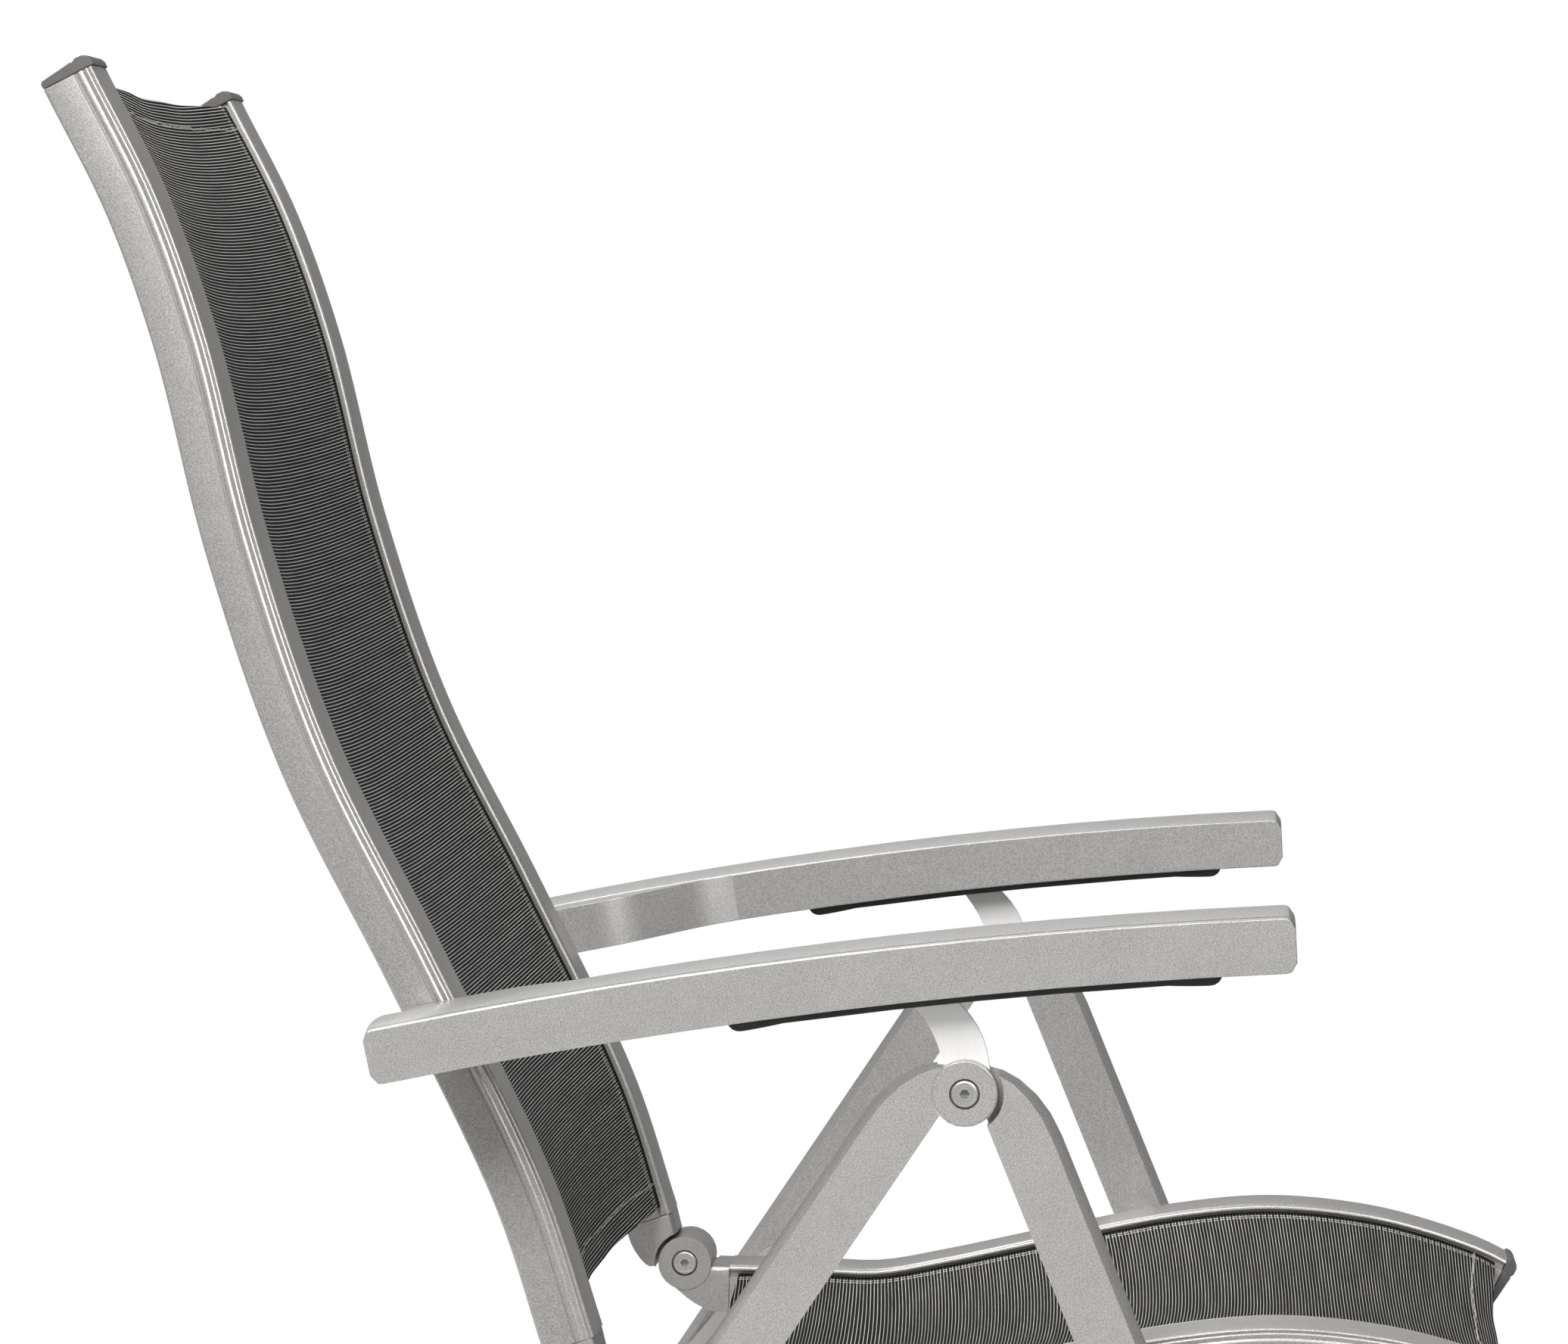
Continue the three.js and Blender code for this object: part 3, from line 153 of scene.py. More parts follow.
def powder_coat(name, dark, mid, light, roughness=0.38, stitches_and_groove_shade=False):
    """Silver polyester powder coat with metal flake on aluminium: a fine sparkle of light and
    dark grains 0.6 mm across, over a faint orange peel 4 mm across, satin, with a slightly
    brighter gloss. The real flakes are finer and are drawn coarse enough to show."""
    material, tree, shader = new_material(name, {
        "Metallic": 0.3, "Roughness": roughness, "Coat Weight": 0.35, "Coat Roughness": 0.16})
    place = add(tree, "ShaderNodeTexCoord").outputs["Object"]
    flake = add(tree, "ShaderNodeTexNoise", {
        "Vector": place, "Scale": 1 / FLAKE, "Detail": 3, "Roughness": LUMPS})
    cloud = add(tree, "ShaderNodeTexNoise", {
        "Vector": place, "Scale": 1 / CLOUD, "Detail": 2, "Roughness": LUMPS})
    peel = add(tree, "ShaderNodeTexNoise", {
        "Vector": place, "Scale": 1 / PEEL, "Detail": 2, "Roughness": LUMPS})
    tint = add(tree, "ShaderNodeValToRGB", {"Fac": flake},
               [(0.3, dark), (0.5, mid), (0.7, light)])
    soft = add(tree, "ShaderNodeMapRange", {
        "Value": cloud, "From Min": 0.3, "From Max": 0.7, "To Min": 0.97, "To Max": 1.03})
    base = add(tree, "ShaderNodeMix", {SHARE: 1.0, UNDER: tint, OVER: soft},
               data_type="RGBA", blend_type="MULTIPLY").outputs[MIXED]
    if stitches_and_groove_shade:
        # Painted shade of a fine groove: a dark line 0.9 mm wide along the outer edge of the
        # armrest's top
        across = add(tree, "ShaderNodeSeparateXYZ", {"Vector": place}).outputs["X"]
        side = add(tree, "ShaderNodeMath", {0: across}, operation="ABSOLUTE")
        off = add(tree, "ShaderNodeMath", {0: side, 1: GROOVE_SHADE_PLACE}, operation="SUBTRACT")
        near = add(tree, "ShaderNodeMath", {0: off}, operation="ABSOLUTE")
        line = add(tree, "ShaderNodeMath", {0: near, 1: GROOVE_SHADE_HALF}, operation="LESS_THAN")
        normal = add(tree, "ShaderNodeTexCoord").outputs["Normal"]
        facing = add(tree, "ShaderNodeSeparateXYZ", {"Vector": normal}).outputs["Z"]
        upward = add(tree, "ShaderNodeMath", {0: facing, 1: 0.75}, operation="GREATER_THAN")
        drawn = add(tree, "ShaderNodeMath", {0: line, 1: upward}, operation="MULTIPLY")
        # Painted shade: the groove line is mixed in as dark grey
        base = add(tree, "ShaderNodeMix", {SHARE: drawn, UNDER: base, OVER: linear("#6e6e6c")},
                   data_type="RGBA").outputs[MIXED]
    height = add(tree, "ShaderNodeMath", {0: flake, 1: peel}, operation="ADD")
    bump = add(tree, "ShaderNodeBump", {
        "Height": height, "Strength": 0.12, "Distance": 0.15 * MM})
    dress(tree, shader, base, bump)
    return material


SCRATCH = 0.8 * MM
DRAWN_OUT = {"X": (0.04, 1, 1), "Y": (1, 0.04, 1), "Z": (1, 1, 0.04)}


def brushed(name, dark, light, roughness, along="Z", metallic=0.5):
    """Satin steel, brushed or zinc plated: fine scratches along the piece, 0.3 mm apart in the
    real one and drawn 0.8 mm apart so that they show."""
    material, tree, shader = new_material(name, {"Metallic": metallic, "Roughness": roughness})
    place = add(tree, "ShaderNodeTexCoord").outputs["Object"]
    lines = add(tree, "ShaderNodeMapping", {"Vector": place, "Scale": DRAWN_OUT[along]})
    scratch = add(tree, "ShaderNodeTexNoise", {
        "Vector": lines, "Scale": 1 / SCRATCH, "Detail": 3, "Roughness": LUMPS})
    tint = add(tree, "ShaderNodeValToRGB", {"Fac": scratch}, [(0.3, dark), (0.7, light)])
    bump = add(tree, "ShaderNodeBump", {
        "Height": scratch, "Strength": 0.05, "Distance": 0.05 * MM})
    dress(tree, shader, tint.outputs[0], bump)
    return material


PITS = 0.7 * MM
PATCH = 15 * MM


def moulded(name, dark, light, roughness):
    """Moulded polyamide: even colour with a fine spark-eroded grain 0.7 mm across and a soft
    sheen."""
    material, tree, shader = new_material(name, {"Roughness": roughness})
    place = add(tree, "ShaderNodeTexCoord").outputs["Object"]
    pits = add(tree, "ShaderNodeTexNoise", {
        "Vector": place, "Scale": 1 / PITS, "Detail": 2, "Roughness": LUMPS})
    patch = add(tree, "ShaderNodeTexNoise", {
        "Vector": place, "Scale": 1 / PATCH, "Detail": 2, "Roughness": LUMPS})
    tint = add(tree, "ShaderNodeValToRGB", {"Fac": patch}, [(0.35, dark), (0.65, light)])
    bump = add(tree, "ShaderNodeBump", {"Height": pits, "Strength": 0.2, "Distance": 0.1 * MM})
    dress(tree, shader, tint.outputs[0], bump)
    return material


RIB_PITCH = 1.8 * MM
YARN_PITCH = 0.9 * MM
FLECK = 1.1 * MM
BAND = 5 * MM
DRIFT = 14 * MM
PUCKER = 32 * MM
DRIFT_SHIFT = 0.25 * MM
PUCKER_SHIFT = 7 * MM
HEM = 14 * MM
SEAMS_FROM_EDGE = (8.7 * MM, 12.2 * MM)
STITCH = 3.4 * MM
STITCH_SHARE = 0.72
THREAD_HALF = 0.6 * MM
WEFT_BOW = 4.5 * MM
# How far in from the cloth's edge the painted slot shade reaches
SLOT_SHADE_REACH = 6.2 * MM


def sling_mesh(name, width, length, tone_and_shade_level):
    """PVC-coated polyester sling mesh: ribs with black gaps, 1.8 mm apart across the
    chair, each rib broken into yarns, with two rows of pale stitches along each side and one row
    along each hem. The ribs turn near white at their crests, a painted highlight of the glossy
    PVC. A lower level shows more of the black gaps; the seat's lower level is painted shade."""
    material, tree, shader = new_material(name, {"Roughness": 0.65, "Specular IOR Level": 0.12})
    where = add(tree, "ShaderNodeUVMap", uv_map="UVMap").outputs[0]
    parts = add(tree, "ShaderNodeSeparateXYZ", {"Vector": where})
    across, along = parts.outputs["X"], parts.outputs["Y"]

    # The rows of ribs, bowed and a little uneven
    pulled = add(tree, "ShaderNodeMapping", {"Vector": where, "Scale": (0.25, 1, 1)})
    drift = add(tree, "ShaderNodeTexNoise", {
        "Vector": pulled, "Scale": 1 / DRIFT, "Detail": 2, "Roughness": LUMPS})
    shift = add(tree, "ShaderNodeMath", {0: drift, 1: 0.5}, operation="SUBTRACT")
    shift = add(tree, "ShaderNodeMath", {0: shift, 1: DRIFT_SHIFT}, operation="MULTIPLY")
    share = add(tree, "ShaderNodeMath", {0: across, 1: 2.0}, operation="MULTIPLY")
    share = add(tree, "ShaderNodeMath", {0: share, 1: width}, operation="DIVIDE")
    share = add(tree, "ShaderNodeMath", {0: share, 1: 1.0}, operation="SUBTRACT")
    bow = add(tree, "ShaderNodeMath", {0: share, 1: share}, operation="MULTIPLY")
    bow = add(tree, "ShaderNodeMath", {0: 1.0, 1: bow}, operation="SUBTRACT")
    bow = add(tree, "ShaderNodeMath", {0: bow, 1: WEFT_BOW}, operation="MULTIPLY")
    row = add(tree, "ShaderNodeMath", {0: along, 1: shift}, operation="ADD")
    row = add(tree, "ShaderNodeMath", {0: row, 1: bow}, operation="ADD")
    rib = add(tree, "ShaderNodeMath", {0: row, 1: 2 * math.pi / RIB_PITCH}, operation="MULTIPLY")
    rib = add(tree, "ShaderNodeMath", {0: rib}, operation="SINE")
    yarn = add(tree, "ShaderNodeMath", {0: across, 1: 2 * math.pi / YARN_PITCH},
               operation="MULTIPLY")
    yarn = add(tree, "ShaderNodeMath", {0: yarn}, operation="SINE")

    # Their light and dark, with flecks and bands
    fleck = add(tree, "ShaderNodeTexNoise", {
        "Vector": where, "Scale": 1 / FLECK, "Detail": 2, "Roughness": LUMPS})
    fleck = add(tree, "ShaderNodeMath", {0: fleck, 1: 0.5}, operation="SUBTRACT")
    fleck = add(tree, "ShaderNodeMath", {0: fleck, 1: 0.26}, operation="MULTIPLY")
    pulled = add(tree, "ShaderNodeMapping", {"Vector": where, "Scale": (0.05, 1, 1)})
    band = add(tree, "ShaderNodeTexNoise", {
        "Vector": pulled, "Scale": 1 / BAND, "Detail": 2, "Roughness": LUMPS})
    band = add(tree, "ShaderNodeMath", {0: band, 1: 0.5}, operation="SUBTRACT")
    band = add(tree, "ShaderNodeMath", {0: band, 1: 0.22}, operation="MULTIPLY")
    ribs = add(tree, "ShaderNodeMath", {0: rib, 1: 0.56}, operation="MULTIPLY")
    yarns = add(tree, "ShaderNodeMath", {0: yarn, 1: 0.04}, operation="MULTIPLY")
    tone = add(tree, "ShaderNodeMath", {0: ribs, 1: yarns}, operation="ADD")
    for more in (fleck, band, tone_and_shade_level):
        tone = add(tree, "ShaderNodeMath", {0: tone, 1: more}, operation="ADD")
    # Black gaps to near-white rib crests; the near-white crests are painted highlight
    cloth = add(tree, "ShaderNodeValToRGB", {"Fac": tone}, [
        (0.25, "#040404"), (0.56, "#0e0e0d"), (0.78, "#9a9794"), (0.95, "#f1eeea")])

    def inward(value, span):
        """How far a place lies from the nearer end of a span."""
        off = add(tree, "ShaderNodeMath", {0: value, 1: span / 2}, operation="SUBTRACT")
        off = add(tree, "ShaderNodeMath", {0: off}, operation="ABSOLUTE")
        return add(tree, "ShaderNodeMath", {0: span / 2, 1: off}, operation="SUBTRACT")

    def stitches_and_groove_shade(value, target, run):
        """Stitches along a line where the value meets its target."""
        off = add(tree, "ShaderNodeMath", {0: value, 1: target}, operation="SUBTRACT")
        off = add(tree, "ShaderNodeMath", {0: off}, operation="ABSOLUTE")
        line = add(tree, "ShaderNodeMath", {0: off, 1: THREAD_HALF}, operation="LESS_THAN")
        step = add(tree, "ShaderNodeMath", {0: run, 1: STITCH}, operation="DIVIDE")
        step = add(tree, "ShaderNodeMath", {0: step}, operation="FRACT")
        step = add(tree, "ShaderNodeMath", {0: step, 1: STITCH_SHARE}, operation="LESS_THAN")
        return add(tree, "ShaderNodeMath", {0: line, 1: step}, operation="MULTIPLY")

    # Painted shade of the rail's slot along the cloth's edges, over the part tucked into the slot
    # and 3 mm beside it, and the stitches
    edge = inward(across, width)
    slot_shade = add(tree, "ShaderNodeMath", {0: edge, 1: SLOT_SHADE_REACH}, operation="LESS_THAN")
    slot_shade = add(tree, "ShaderNodeMath", {0: slot_shade, 1: 0.9}, operation="MULTIPLY")
    pucker = add(tree, "ShaderNodeTexNoise", {
        "Vector": where, "Scale": 1 / PUCKER, "Detail": 2, "Roughness": LUMPS})
    pucker = add(tree, "ShaderNodeMath", {0: pucker, 1: 0.5}, operation="SUBTRACT")
    pucker = add(tree, "ShaderNodeMath", {0: pucker, 1: PUCKER_SHIFT}, operation="MULTIPLY")
    end = add(tree, "ShaderNodeMath", {0: inward(along, length), 1: pucker}, operation="ADD")
    thread = add(tree, "ShaderNodeMath", {
        0: stitches_and_groove_shade(edge, SEAMS_FROM_EDGE[0], along), 1: stitches_and_groove_shade(edge, SEAMS_FROM_EDGE[1], along)},
        operation="ADD")
    thread = add(tree, "ShaderNodeMath", {0: thread, 1: stitches_and_groove_shade(end, HEM, across)}, operation="ADD")
    thread = add(tree, "ShaderNodeMath", {0: thread, 1: 1.0}, operation="MINIMUM")
    sewn = add(tree, "ShaderNodeMath", {0: thread, 1: 0.9}, operation="MULTIPLY")
    # Painted shade: near-black cloth beside the rails' slots
    base = add(tree, "ShaderNodeMix", {SHARE: slot_shade, UNDER: cloth, OVER: linear("#0a0a0a")},
               data_type="RGBA").outputs[MIXED]
    base = add(tree, "ShaderNodeMix", {SHARE: sewn, UNDER: base, OVER: linear("#cfccc8")},
               data_type="RGBA").outputs[MIXED]

    ribs = add(tree, "ShaderNodeMath", {0: rib, 1: 0.5}, operation="MULTIPLY")
    yarns = add(tree, "ShaderNodeMath", {0: yarn, 1: 0.15}, operation="MULTIPLY")
    threads = add(tree, "ShaderNodeMath", {0: thread, 1: 0.8}, operation="MULTIPLY")
    relief = add(tree, "ShaderNodeMath", {0: ribs, 1: yarns}, operation="ADD")
    relief = add(tree, "ShaderNodeMath", {0: relief, 1: threads}, operation="ADD")
    bump = add(tree, "ShaderNodeBump", {
        "Height": relief, "Strength": 0.8, "Distance": 0.35 * MM})
    dress(tree, shader, base, bump)
    return material


COAT = powder_coat("silver_powder_coat_on_extruded_aluminium", "#83807e", "#a09e9c", "#bdbbb9")
LEG_COAT = powder_coat("silver_powder_coat_on_leg_flats", "#908e8c", "#aeacaa", "#cccac8")
CAST = powder_coat("silver_powder_coat_on_cast_aluminium", "#898684", "#9d9b99", "#b1afad", 0.4)
# The armrest's coat, with the painted shade of a groove along the outer edge of its top
ARM_COAT = powder_coat("silver_powder_coat_on_armrest_extrusion", "#8d8b89", "#abaaa8", "#c8c6c4",
                       stitches_and_groove_shade=True)
# The stay's steel is near white and barely metallic: painted sheen standing in for the steel's
# bright reflection
PAINTED_SHEEN_STEEL = brushed("satin_stainless_steel_strap_painted_sheen", "#f6f5f4", "#fbfaf9", 0.5, metallic=0.05)
BAR_STEEL = brushed("satin_stainless_steel_bar", "#bdbcba", "#dcdbd9", 0.3, "X")
SCREW = brushed("zinc_plated_steel_screws", "#a5a4a2", "#bdbcba", 0.34, "Y")
CAP = moulded("charcoal_polyamide_caps", "#555352", "#5f5d5c", 0.38)
RACK = moulded("black_polyamide_rack", "#262626", "#2e2e2d", 0.4)
FOOT = moulded("charcoal_polyamide_feet", "#434241", "#4c4b4a", 0.5)


# Tools

def nothing_selected():
    bpy.ops.object.select_all(action="DESELECT")


def only(obj):
    nothing_selected()
    obj.select_set(True)
    bpy.context.view_layer.objects.active = obj


def body_of(node):
    bodies = frame["record"]["behaviour"]["bodies"]
    return next(name for name, nodes in bodies.items() if node in nodes)


def place_on(piece, node, material):
    """Gives a finished piece its material and its body, and lets it stand for its CAD node."""
    piece.data.materials.clear()
    piece.data.materials.append(material)
    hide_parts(node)
    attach(piece, body_of(node))
    return piece


def apply(obj, kind, **settings):
    only(obj)
    modifier = obj.modifiers.new(kind.lower(), kind)
    for key, value in settings.items():
        setattr(modifier, key, value)
    bpy.ops.object.modifier_apply(modifier=modifier.name)


def reshape(obj, *steps):
    """Runs edit mode operators, each with its settings, on the whole mesh."""
    only(obj)
    bpy.ops.object.mode_set(mode="EDIT")
    bpy.ops.mesh.select_all(action="SELECT")
    for step, settings in steps:
        step(**settings)
    bpy.ops.object.mode_set(mode="OBJECT")


def smooth(obj, degrees=32):
    only(obj)
    bpy.ops.object.shade_smooth_by_angle(angle=math.radians(degrees))


MERGED_WITHIN = 0.01 * MM
FLAT_WITHIN = math.radians(0.6)
SHARP_FROM = math.radians(38)


def edged(node, material, edge, segments=2):
    """A CAD node whose loose faces are merged and whose sharp edges are rounded."""
    source = frame["nodes"][node]
    piece = bpy.data.objects.new(node + "_finish", source.data.copy())
    bpy.context.collection.objects.link(piece)
    reshape(piece, (bpy.ops.mesh.remove_doubles, {"threshold": MERGED_WITHIN}),
            (bpy.ops.mesh.dissolve_limited, {"angle_limit": FLAT_WITHIN}))
    apply(piece, "BEVEL", width=edge, segments=segments, limit_method="ANGLE",
          angle_limit=SHARP_FROM, use_clamp_overlap=True, harden_normals=False)
    smooth(piece)
    apply(piece, "WEIGHTED_NORMAL", keep_sharp=True)
    return place_on(piece, node, material)


def end_face(piece, ring):
    """Closes the open end of a skin where this ring lies."""
    centre = sum(ring, Vector()) / len(ring)
    reach = max((point - centre).length for point in ring) * 1.02
    only(piece)
    bpy.ops.object.mode_set(mode="EDIT")
    bpy.ops.mesh.select_mode(type="EDGE")
    bpy.ops.mesh.select_all(action="DESELECT")
    bpy.ops.mesh.select_non_manifold(
        extend=False, use_wire=False, use_boundary=True, use_multi_face=False,
        use_non_contiguous=False, use_verts=False)
    bpy.ops.object.mode_set(mode="OBJECT")
    vertices = piece.data.vertices
    for edge in piece.data.edges:
        if edge.select:
            edge.select = all((vertices[v].co - centre).length <= reach for v in edge.vertices)
    for vertex in vertices:
        vertex.select = vertex.select and (vertex.co - centre).length <= reach
    bpy.ops.object.mode_set(mode="EDIT")
    bpy.ops.mesh.edge_face_add()
    bpy.ops.object.mode_set(mode="OBJECT")


def lofted(name, rings, closed=True):
    """A skin through rings of points. Closed rings meet themselves and get end faces."""
    columns = len(rings[0]) if closed else len(rings[0]) - 1
    nothing_selected()
    bpy.ops.mesh.primitive_grid_add(x_subdivisions=columns, y_subdivisions=len(rings) - 1)
    piece = bpy.context.object
    piece.name = name
    piece.data.name = name
    for index, vertex in enumerate(piece.data.vertices):
        row, column = divmod(index, columns + 1)
        vertex.co = rings[row][column % len(rings[0])]
    if closed:
        reshape(piece, (bpy.ops.mesh.remove_doubles, {"threshold": 0.002 * MM}))
        end_face(piece, rings[0])
        end_face(piece, rings[-1])
    reshape(piece, (bpy.ops.mesh.normals_make_consistent, {"inside": False}))
    return piece


# Curves of the back and the seat, seen from the side

BACK_RISE, BACK_SETBACK = 645 * MM, 250 * MM
SEAT_REACH, SEAT_START, SEAT_CREST = 455 * MM, 25 * MM, 37 * MM
BACK_SHARES = [
    (0.0434, 0.026), (0.1566, 0.122), (0.3287, 0.336), (0.4853, 0.54),
    (0.6434, 0.68), (0.7984, 0.78), (0.9039, 0.876), (1, 1),
]
SEAT_SHARES = [
    (1, 0.2), (0.9704, 0.37), (0.8931, 0.678), (0.8148, 0.886), (0.6974, 1), (0.581, 0.878),
    (0.4254, 0.516), (0.2688, 0.116), (0.1905, -0.043), (0.1112, -0.02), (0, 0),
]
BACK_POINTS = [Vector((HINGE.y + back * BACK_SETBACK, HINGE.z + rise * BACK_RISE))
               for rise, back in BACK_SHARES]
SEAT_POINTS = [Vector((HINGE.y - SEAT_START - length * (SEAT_REACH - SEAT_START),
                       HINGE.z + crest * SEAT_CREST))
               for length, crest in SEAT_SHARES]


class SideCurve:
    """A smooth curve through points of the side view, measured along its length."""

    def __init__(self, points, fineness=60):
        padded = [2 * points[0] - points[1], *points, 2 * points[-1] - points[-2]]
        self.track = []
        for i in range(1, len(padded) - 2):
            p = padded[i - 1:i + 3]
            spans = [max((p[k + 1] - p[k]).length ** 0.5, 1e-6) for k in range(3)]
            for k in range(fineness):
                self.track.append(self.between(p, spans, k / fineness))
        self.track.append(points[-1].copy())
        self.reach = [0.0]
        for a, b in zip(self.track, self.track[1:]):
            self.reach.append(self.reach[-1] + (b - a).length)
        self.length = self.reach[-1]

    @staticmethod
    def between(p, spans, t):
        """The point at this share of the way from the second of four points to the third."""
        before = ((p[1] - p[0]) / spans[0] - (p[2] - p[0]) / (spans[0] + spans[1])
                  + (p[2] - p[1]) / spans[1]) * spans[1]
        after = ((p[2] - p[1]) / spans[1] - (p[3] - p[1]) / (spans[1] + spans[2])
                 + (p[3] - p[2]) / spans[2]) * spans[1]
        return (p[1] * (2 * t ** 3 - 3 * t ** 2 + 1) + before * (t ** 3 - 2 * t ** 2 + t)
                + p[2] * (3 * t ** 2 - 2 * t ** 3) + after * (t ** 3 - t ** 2))

    def at(self, distance):
        """The point at this distance, and the direction towards the sitter."""
        low, high = 0, len(self.reach) - 1
        while high - low > 1:
            half = (low + high) // 2
            if self.reach[half] <= distance:
                low = half
            else:
                high = half
        part = (distance - self.reach[low]) / (self.reach[high] - self.reach[low])
        point = self.track[low].lerp(self.track[high], part)
        ahead = self.track[min(high + 2, len(self.track) - 1)] - self.track[max(low - 2, 0)]
        run = ahead.normalized()
        return point, Vector((-run.y, run.x))


back_curve = SideCurve(BACK_POINTS)
seat_curve = SideCurve(SEAT_POINTS)


# Rails: one extruded section, in millimetres, with a flat front, two fine ridges on its outer
# side and a slot for the sling

def arc(cx, cy, radius, start, stop, count):
    angles = [math.radians(start + (stop - start) * i / count) for i in range(count + 1)]
    return [(cx + radius * math.cos(angle), cy + radius * math.sin(angle)) for angle in angles]


OUTER_SIDE = [
    (8, -0.65), (14, -0.8), (17.9, -1.15), *arc(18.3, -2.5, 1.3, 80, 6, 5), (19.5, -2.7),
    (19.1, -3.0), (19.1, -3.3), (19.75, -3.7), (20.0, -4.4), (19.85, -5.2), (19.45, -5.9),
    (19.4, -6.5), (19.75, -7.2), (20.0, -8.0), (19.9, -8.8), (19.5, -9.4), (19.15, -10.0),
    (19.15, -10.6), (19.85, -11.1), (20.0, -12), *arc(18.6, -26.1, 1.4, 0, -90, 4),
]
INNER_SIDE = [
    (-8, -0.65), (-13, -0.8), (-16.6, -1.0), *arc(-16.9, -3.4, 2.6, 92, 176, 6), (-19.5, -3.8),
    (-16.2, -3.9), (-16.2, -7.6), (-19.5, -7.7), (-19.9, -8.2), (-20, -9),
    *arc(-18.6, -26.1, 1.4, 180, 270, 4),
]
SECTION = [(0, -0.6)] + OUTER_SIDE + INNER_SIDE[::-1]
RAIL_STEP = 9 * MM


def rail(node, curve, side):
    count = round(curve.length / RAIL_STEP)
    rings = []
    for k in range(count + 1):
        point, toward = curve.at(curve.length * k / count)
        rings.append([Vector((side * (RAIL_SPREAD + u * MM), point.x + toward.x * v * MM,
                              point.y + toward.y * v * MM)) for u, v in SECTION])
    piece = lofted(node + "_extrusion", rings)
    smooth(piece, 28)
    place_on(piece, node, COAT)


for label, side in (("right", -1), ("left", 1)):
    rail("back_rail_" + label, back_curve, side)
    rail("seat_rail_" + label, seat_curve, side)


# Slings: cloth that sags between the rails, doubled at its hems, with its edges in the rails'
# slots

MOUTH = RAIL_SPREAD - 0.98 * RAIL_HALF - SEATED_GAP
TUCK = 3.2 * MM
SLOT_MIDDLE = -6.2 * MM
CLOTH = 1.1 * MM
CLOTH_STEP = 6 * MM
CLOTH_COLUMNS = 44
FLAT_BY_RAIL = 6 * MM
HEM_RISE = 0.35 * MM
WAVE, WAVE_WIDTH, WAVE_REACH = 0.5 * MM, 17 * MM, 12 * MM


def sling(node, curve, first, last, sags, tone_and_shade_level):
    rows = round((last - first) / CLOTH_STEP)
    half = MOUTH + TUCK
    rings = []
    for r in range(rows + 1):
        share = r / rows
        distance = first + (last - first) * share
        point, toward = curve.at(distance)
        sag = sags[0] + (sags[1] - sags[0]) * share
        from_end = min(distance - first, last - distance)
        ring = []
        for c in range(CLOTH_COLUMNS + 1):
            x = -half + 2 * half * c / CLOTH_COLUMNS
            part = min(abs(x) / MOUTH, 1)
            depth = SLOT_MIDDLE - sag * (1 - part * part)
            if from_end < HEM and abs(x) < MOUTH - FLAT_BY_RAIL:
                depth += HEM_RISE
            # A slack wave that dies away from the hem
            slack = WAVE * math.sin(x / WAVE_WIDTH) * math.exp(-from_end / WAVE_REACH)
            ring.append(Vector((x, point.x + toward.x * (depth + slack),
                                point.y + toward.y * (depth + slack))))
        rings.append(ring)
    piece = lofted(node + "_cloth", rings, closed=False)
    across = [0.0]
    centre = rings[rows // 2]
    for a, b in zip(centre, centre[1:]):
        across.append(across[-1] + (b - a).length)
    width, length = across[-1], last - first
    layer = piece.data.uv_layers[0]
    layer.name = "UVMap"
    for loop in piece.data.loops:
        row, column = divmod(loop.vertex_index, CLOTH_COLUMNS + 1)
        layer.data[loop.index].uv = (across[column], length * row / rows)
    apply(piece, "SOLIDIFY", thickness=CLOTH, offset=0)
    smooth(piece, 50)
    mesh = sling_mesh("anthracite_pvc_coated_polyester_mesh_" + node, width, length, tone_and_shade_level)
    place_on(piece, node, mesh)


sling("back_sling", back_curve, 5 * MM, back_curve.length - 2 * MM, (18 * MM, 9 * MM), 0.39)
# The same cloth on the seat, set darker as painted shade against the light falling on it from
# above
sling("seat_sling", seat_curve, 5 * MM, seat_curve.length - 5 * MM, (16 * MM, 16 * MM), 0.27)


# Spreaders and cross tubes: round tube, the spreaders bowed away from the sitter

SPREADER_RADIUS = 8 * MM
SPREADER_BOW = 34 * MM
SPREADER_BEHIND = 19.5 * MM
SPREADER_STEPS = 48
CROSS_RADIUS = 11 * MM
CROSS_STEPS = 8


def tube(node, points, radius, sides=28):
    angles = [2 * math.pi * i / sides for i in range(sides)]
    rings = []
    for k, point in enumerate(points):
        run = (points[min(k + 1, len(points) - 1)] - points[max(k - 1, 0)]).normalized()
        up = Vector((0, -run.z, run.y))
        up = up if up.length > 0.1 else Vector((0, 0, 1))
        up = (up - run * up.dot(run)).normalized()
        aside = run.cross(up)
        rings.append([point + radius * (math.cos(angle) * up + math.sin(angle) * aside)
                      for angle in angles])
    piece = lofted(node + "_tube", rings)
    smooth(piece, 40)
    place_on(piece, node, COAT)


def spreader(node, curve, share):
    point, toward = curve.at(curve.length * share)
    end = point - toward * SPREADER_BEHIND
    half = RAIL_SPREAD - RAIL_HALF - SEATED_GAP
    points = []
    for k in range(SPREADER_STEPS + 1):
        t = k / SPREADER_STEPS
        bow = SPREADER_BOW * (1 - math.cos(2 * math.pi * t)) / 2
        points.append(Vector(((2 * t - 1) * half, end.x - toward.x * bow,
                              end.y - toward.y * bow)))
    tube(node, points, SPREADER_RADIUS)


spreader("back_spreader_lower", back_curve, 0.2)
spreader("back_spreader_upper", back_curve, 0.8)
spreader("seat_spreader_front", seat_curve, 0.16)
spreader("seat_spreader_rear", seat_curve, 0.86)
for node in ("front_cross_tube", "rear_cross_tube"):
    spot = middle(node)
    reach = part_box(node)[1][0]
    tube(node, [Vector((-reach + 2 * reach * k / CROSS_STEPS, spot.y, spot.z))
                for k in range(CROSS_STEPS + 1)], CROSS_RADIUS, 40)


# Castings, legs, armrests and small parts

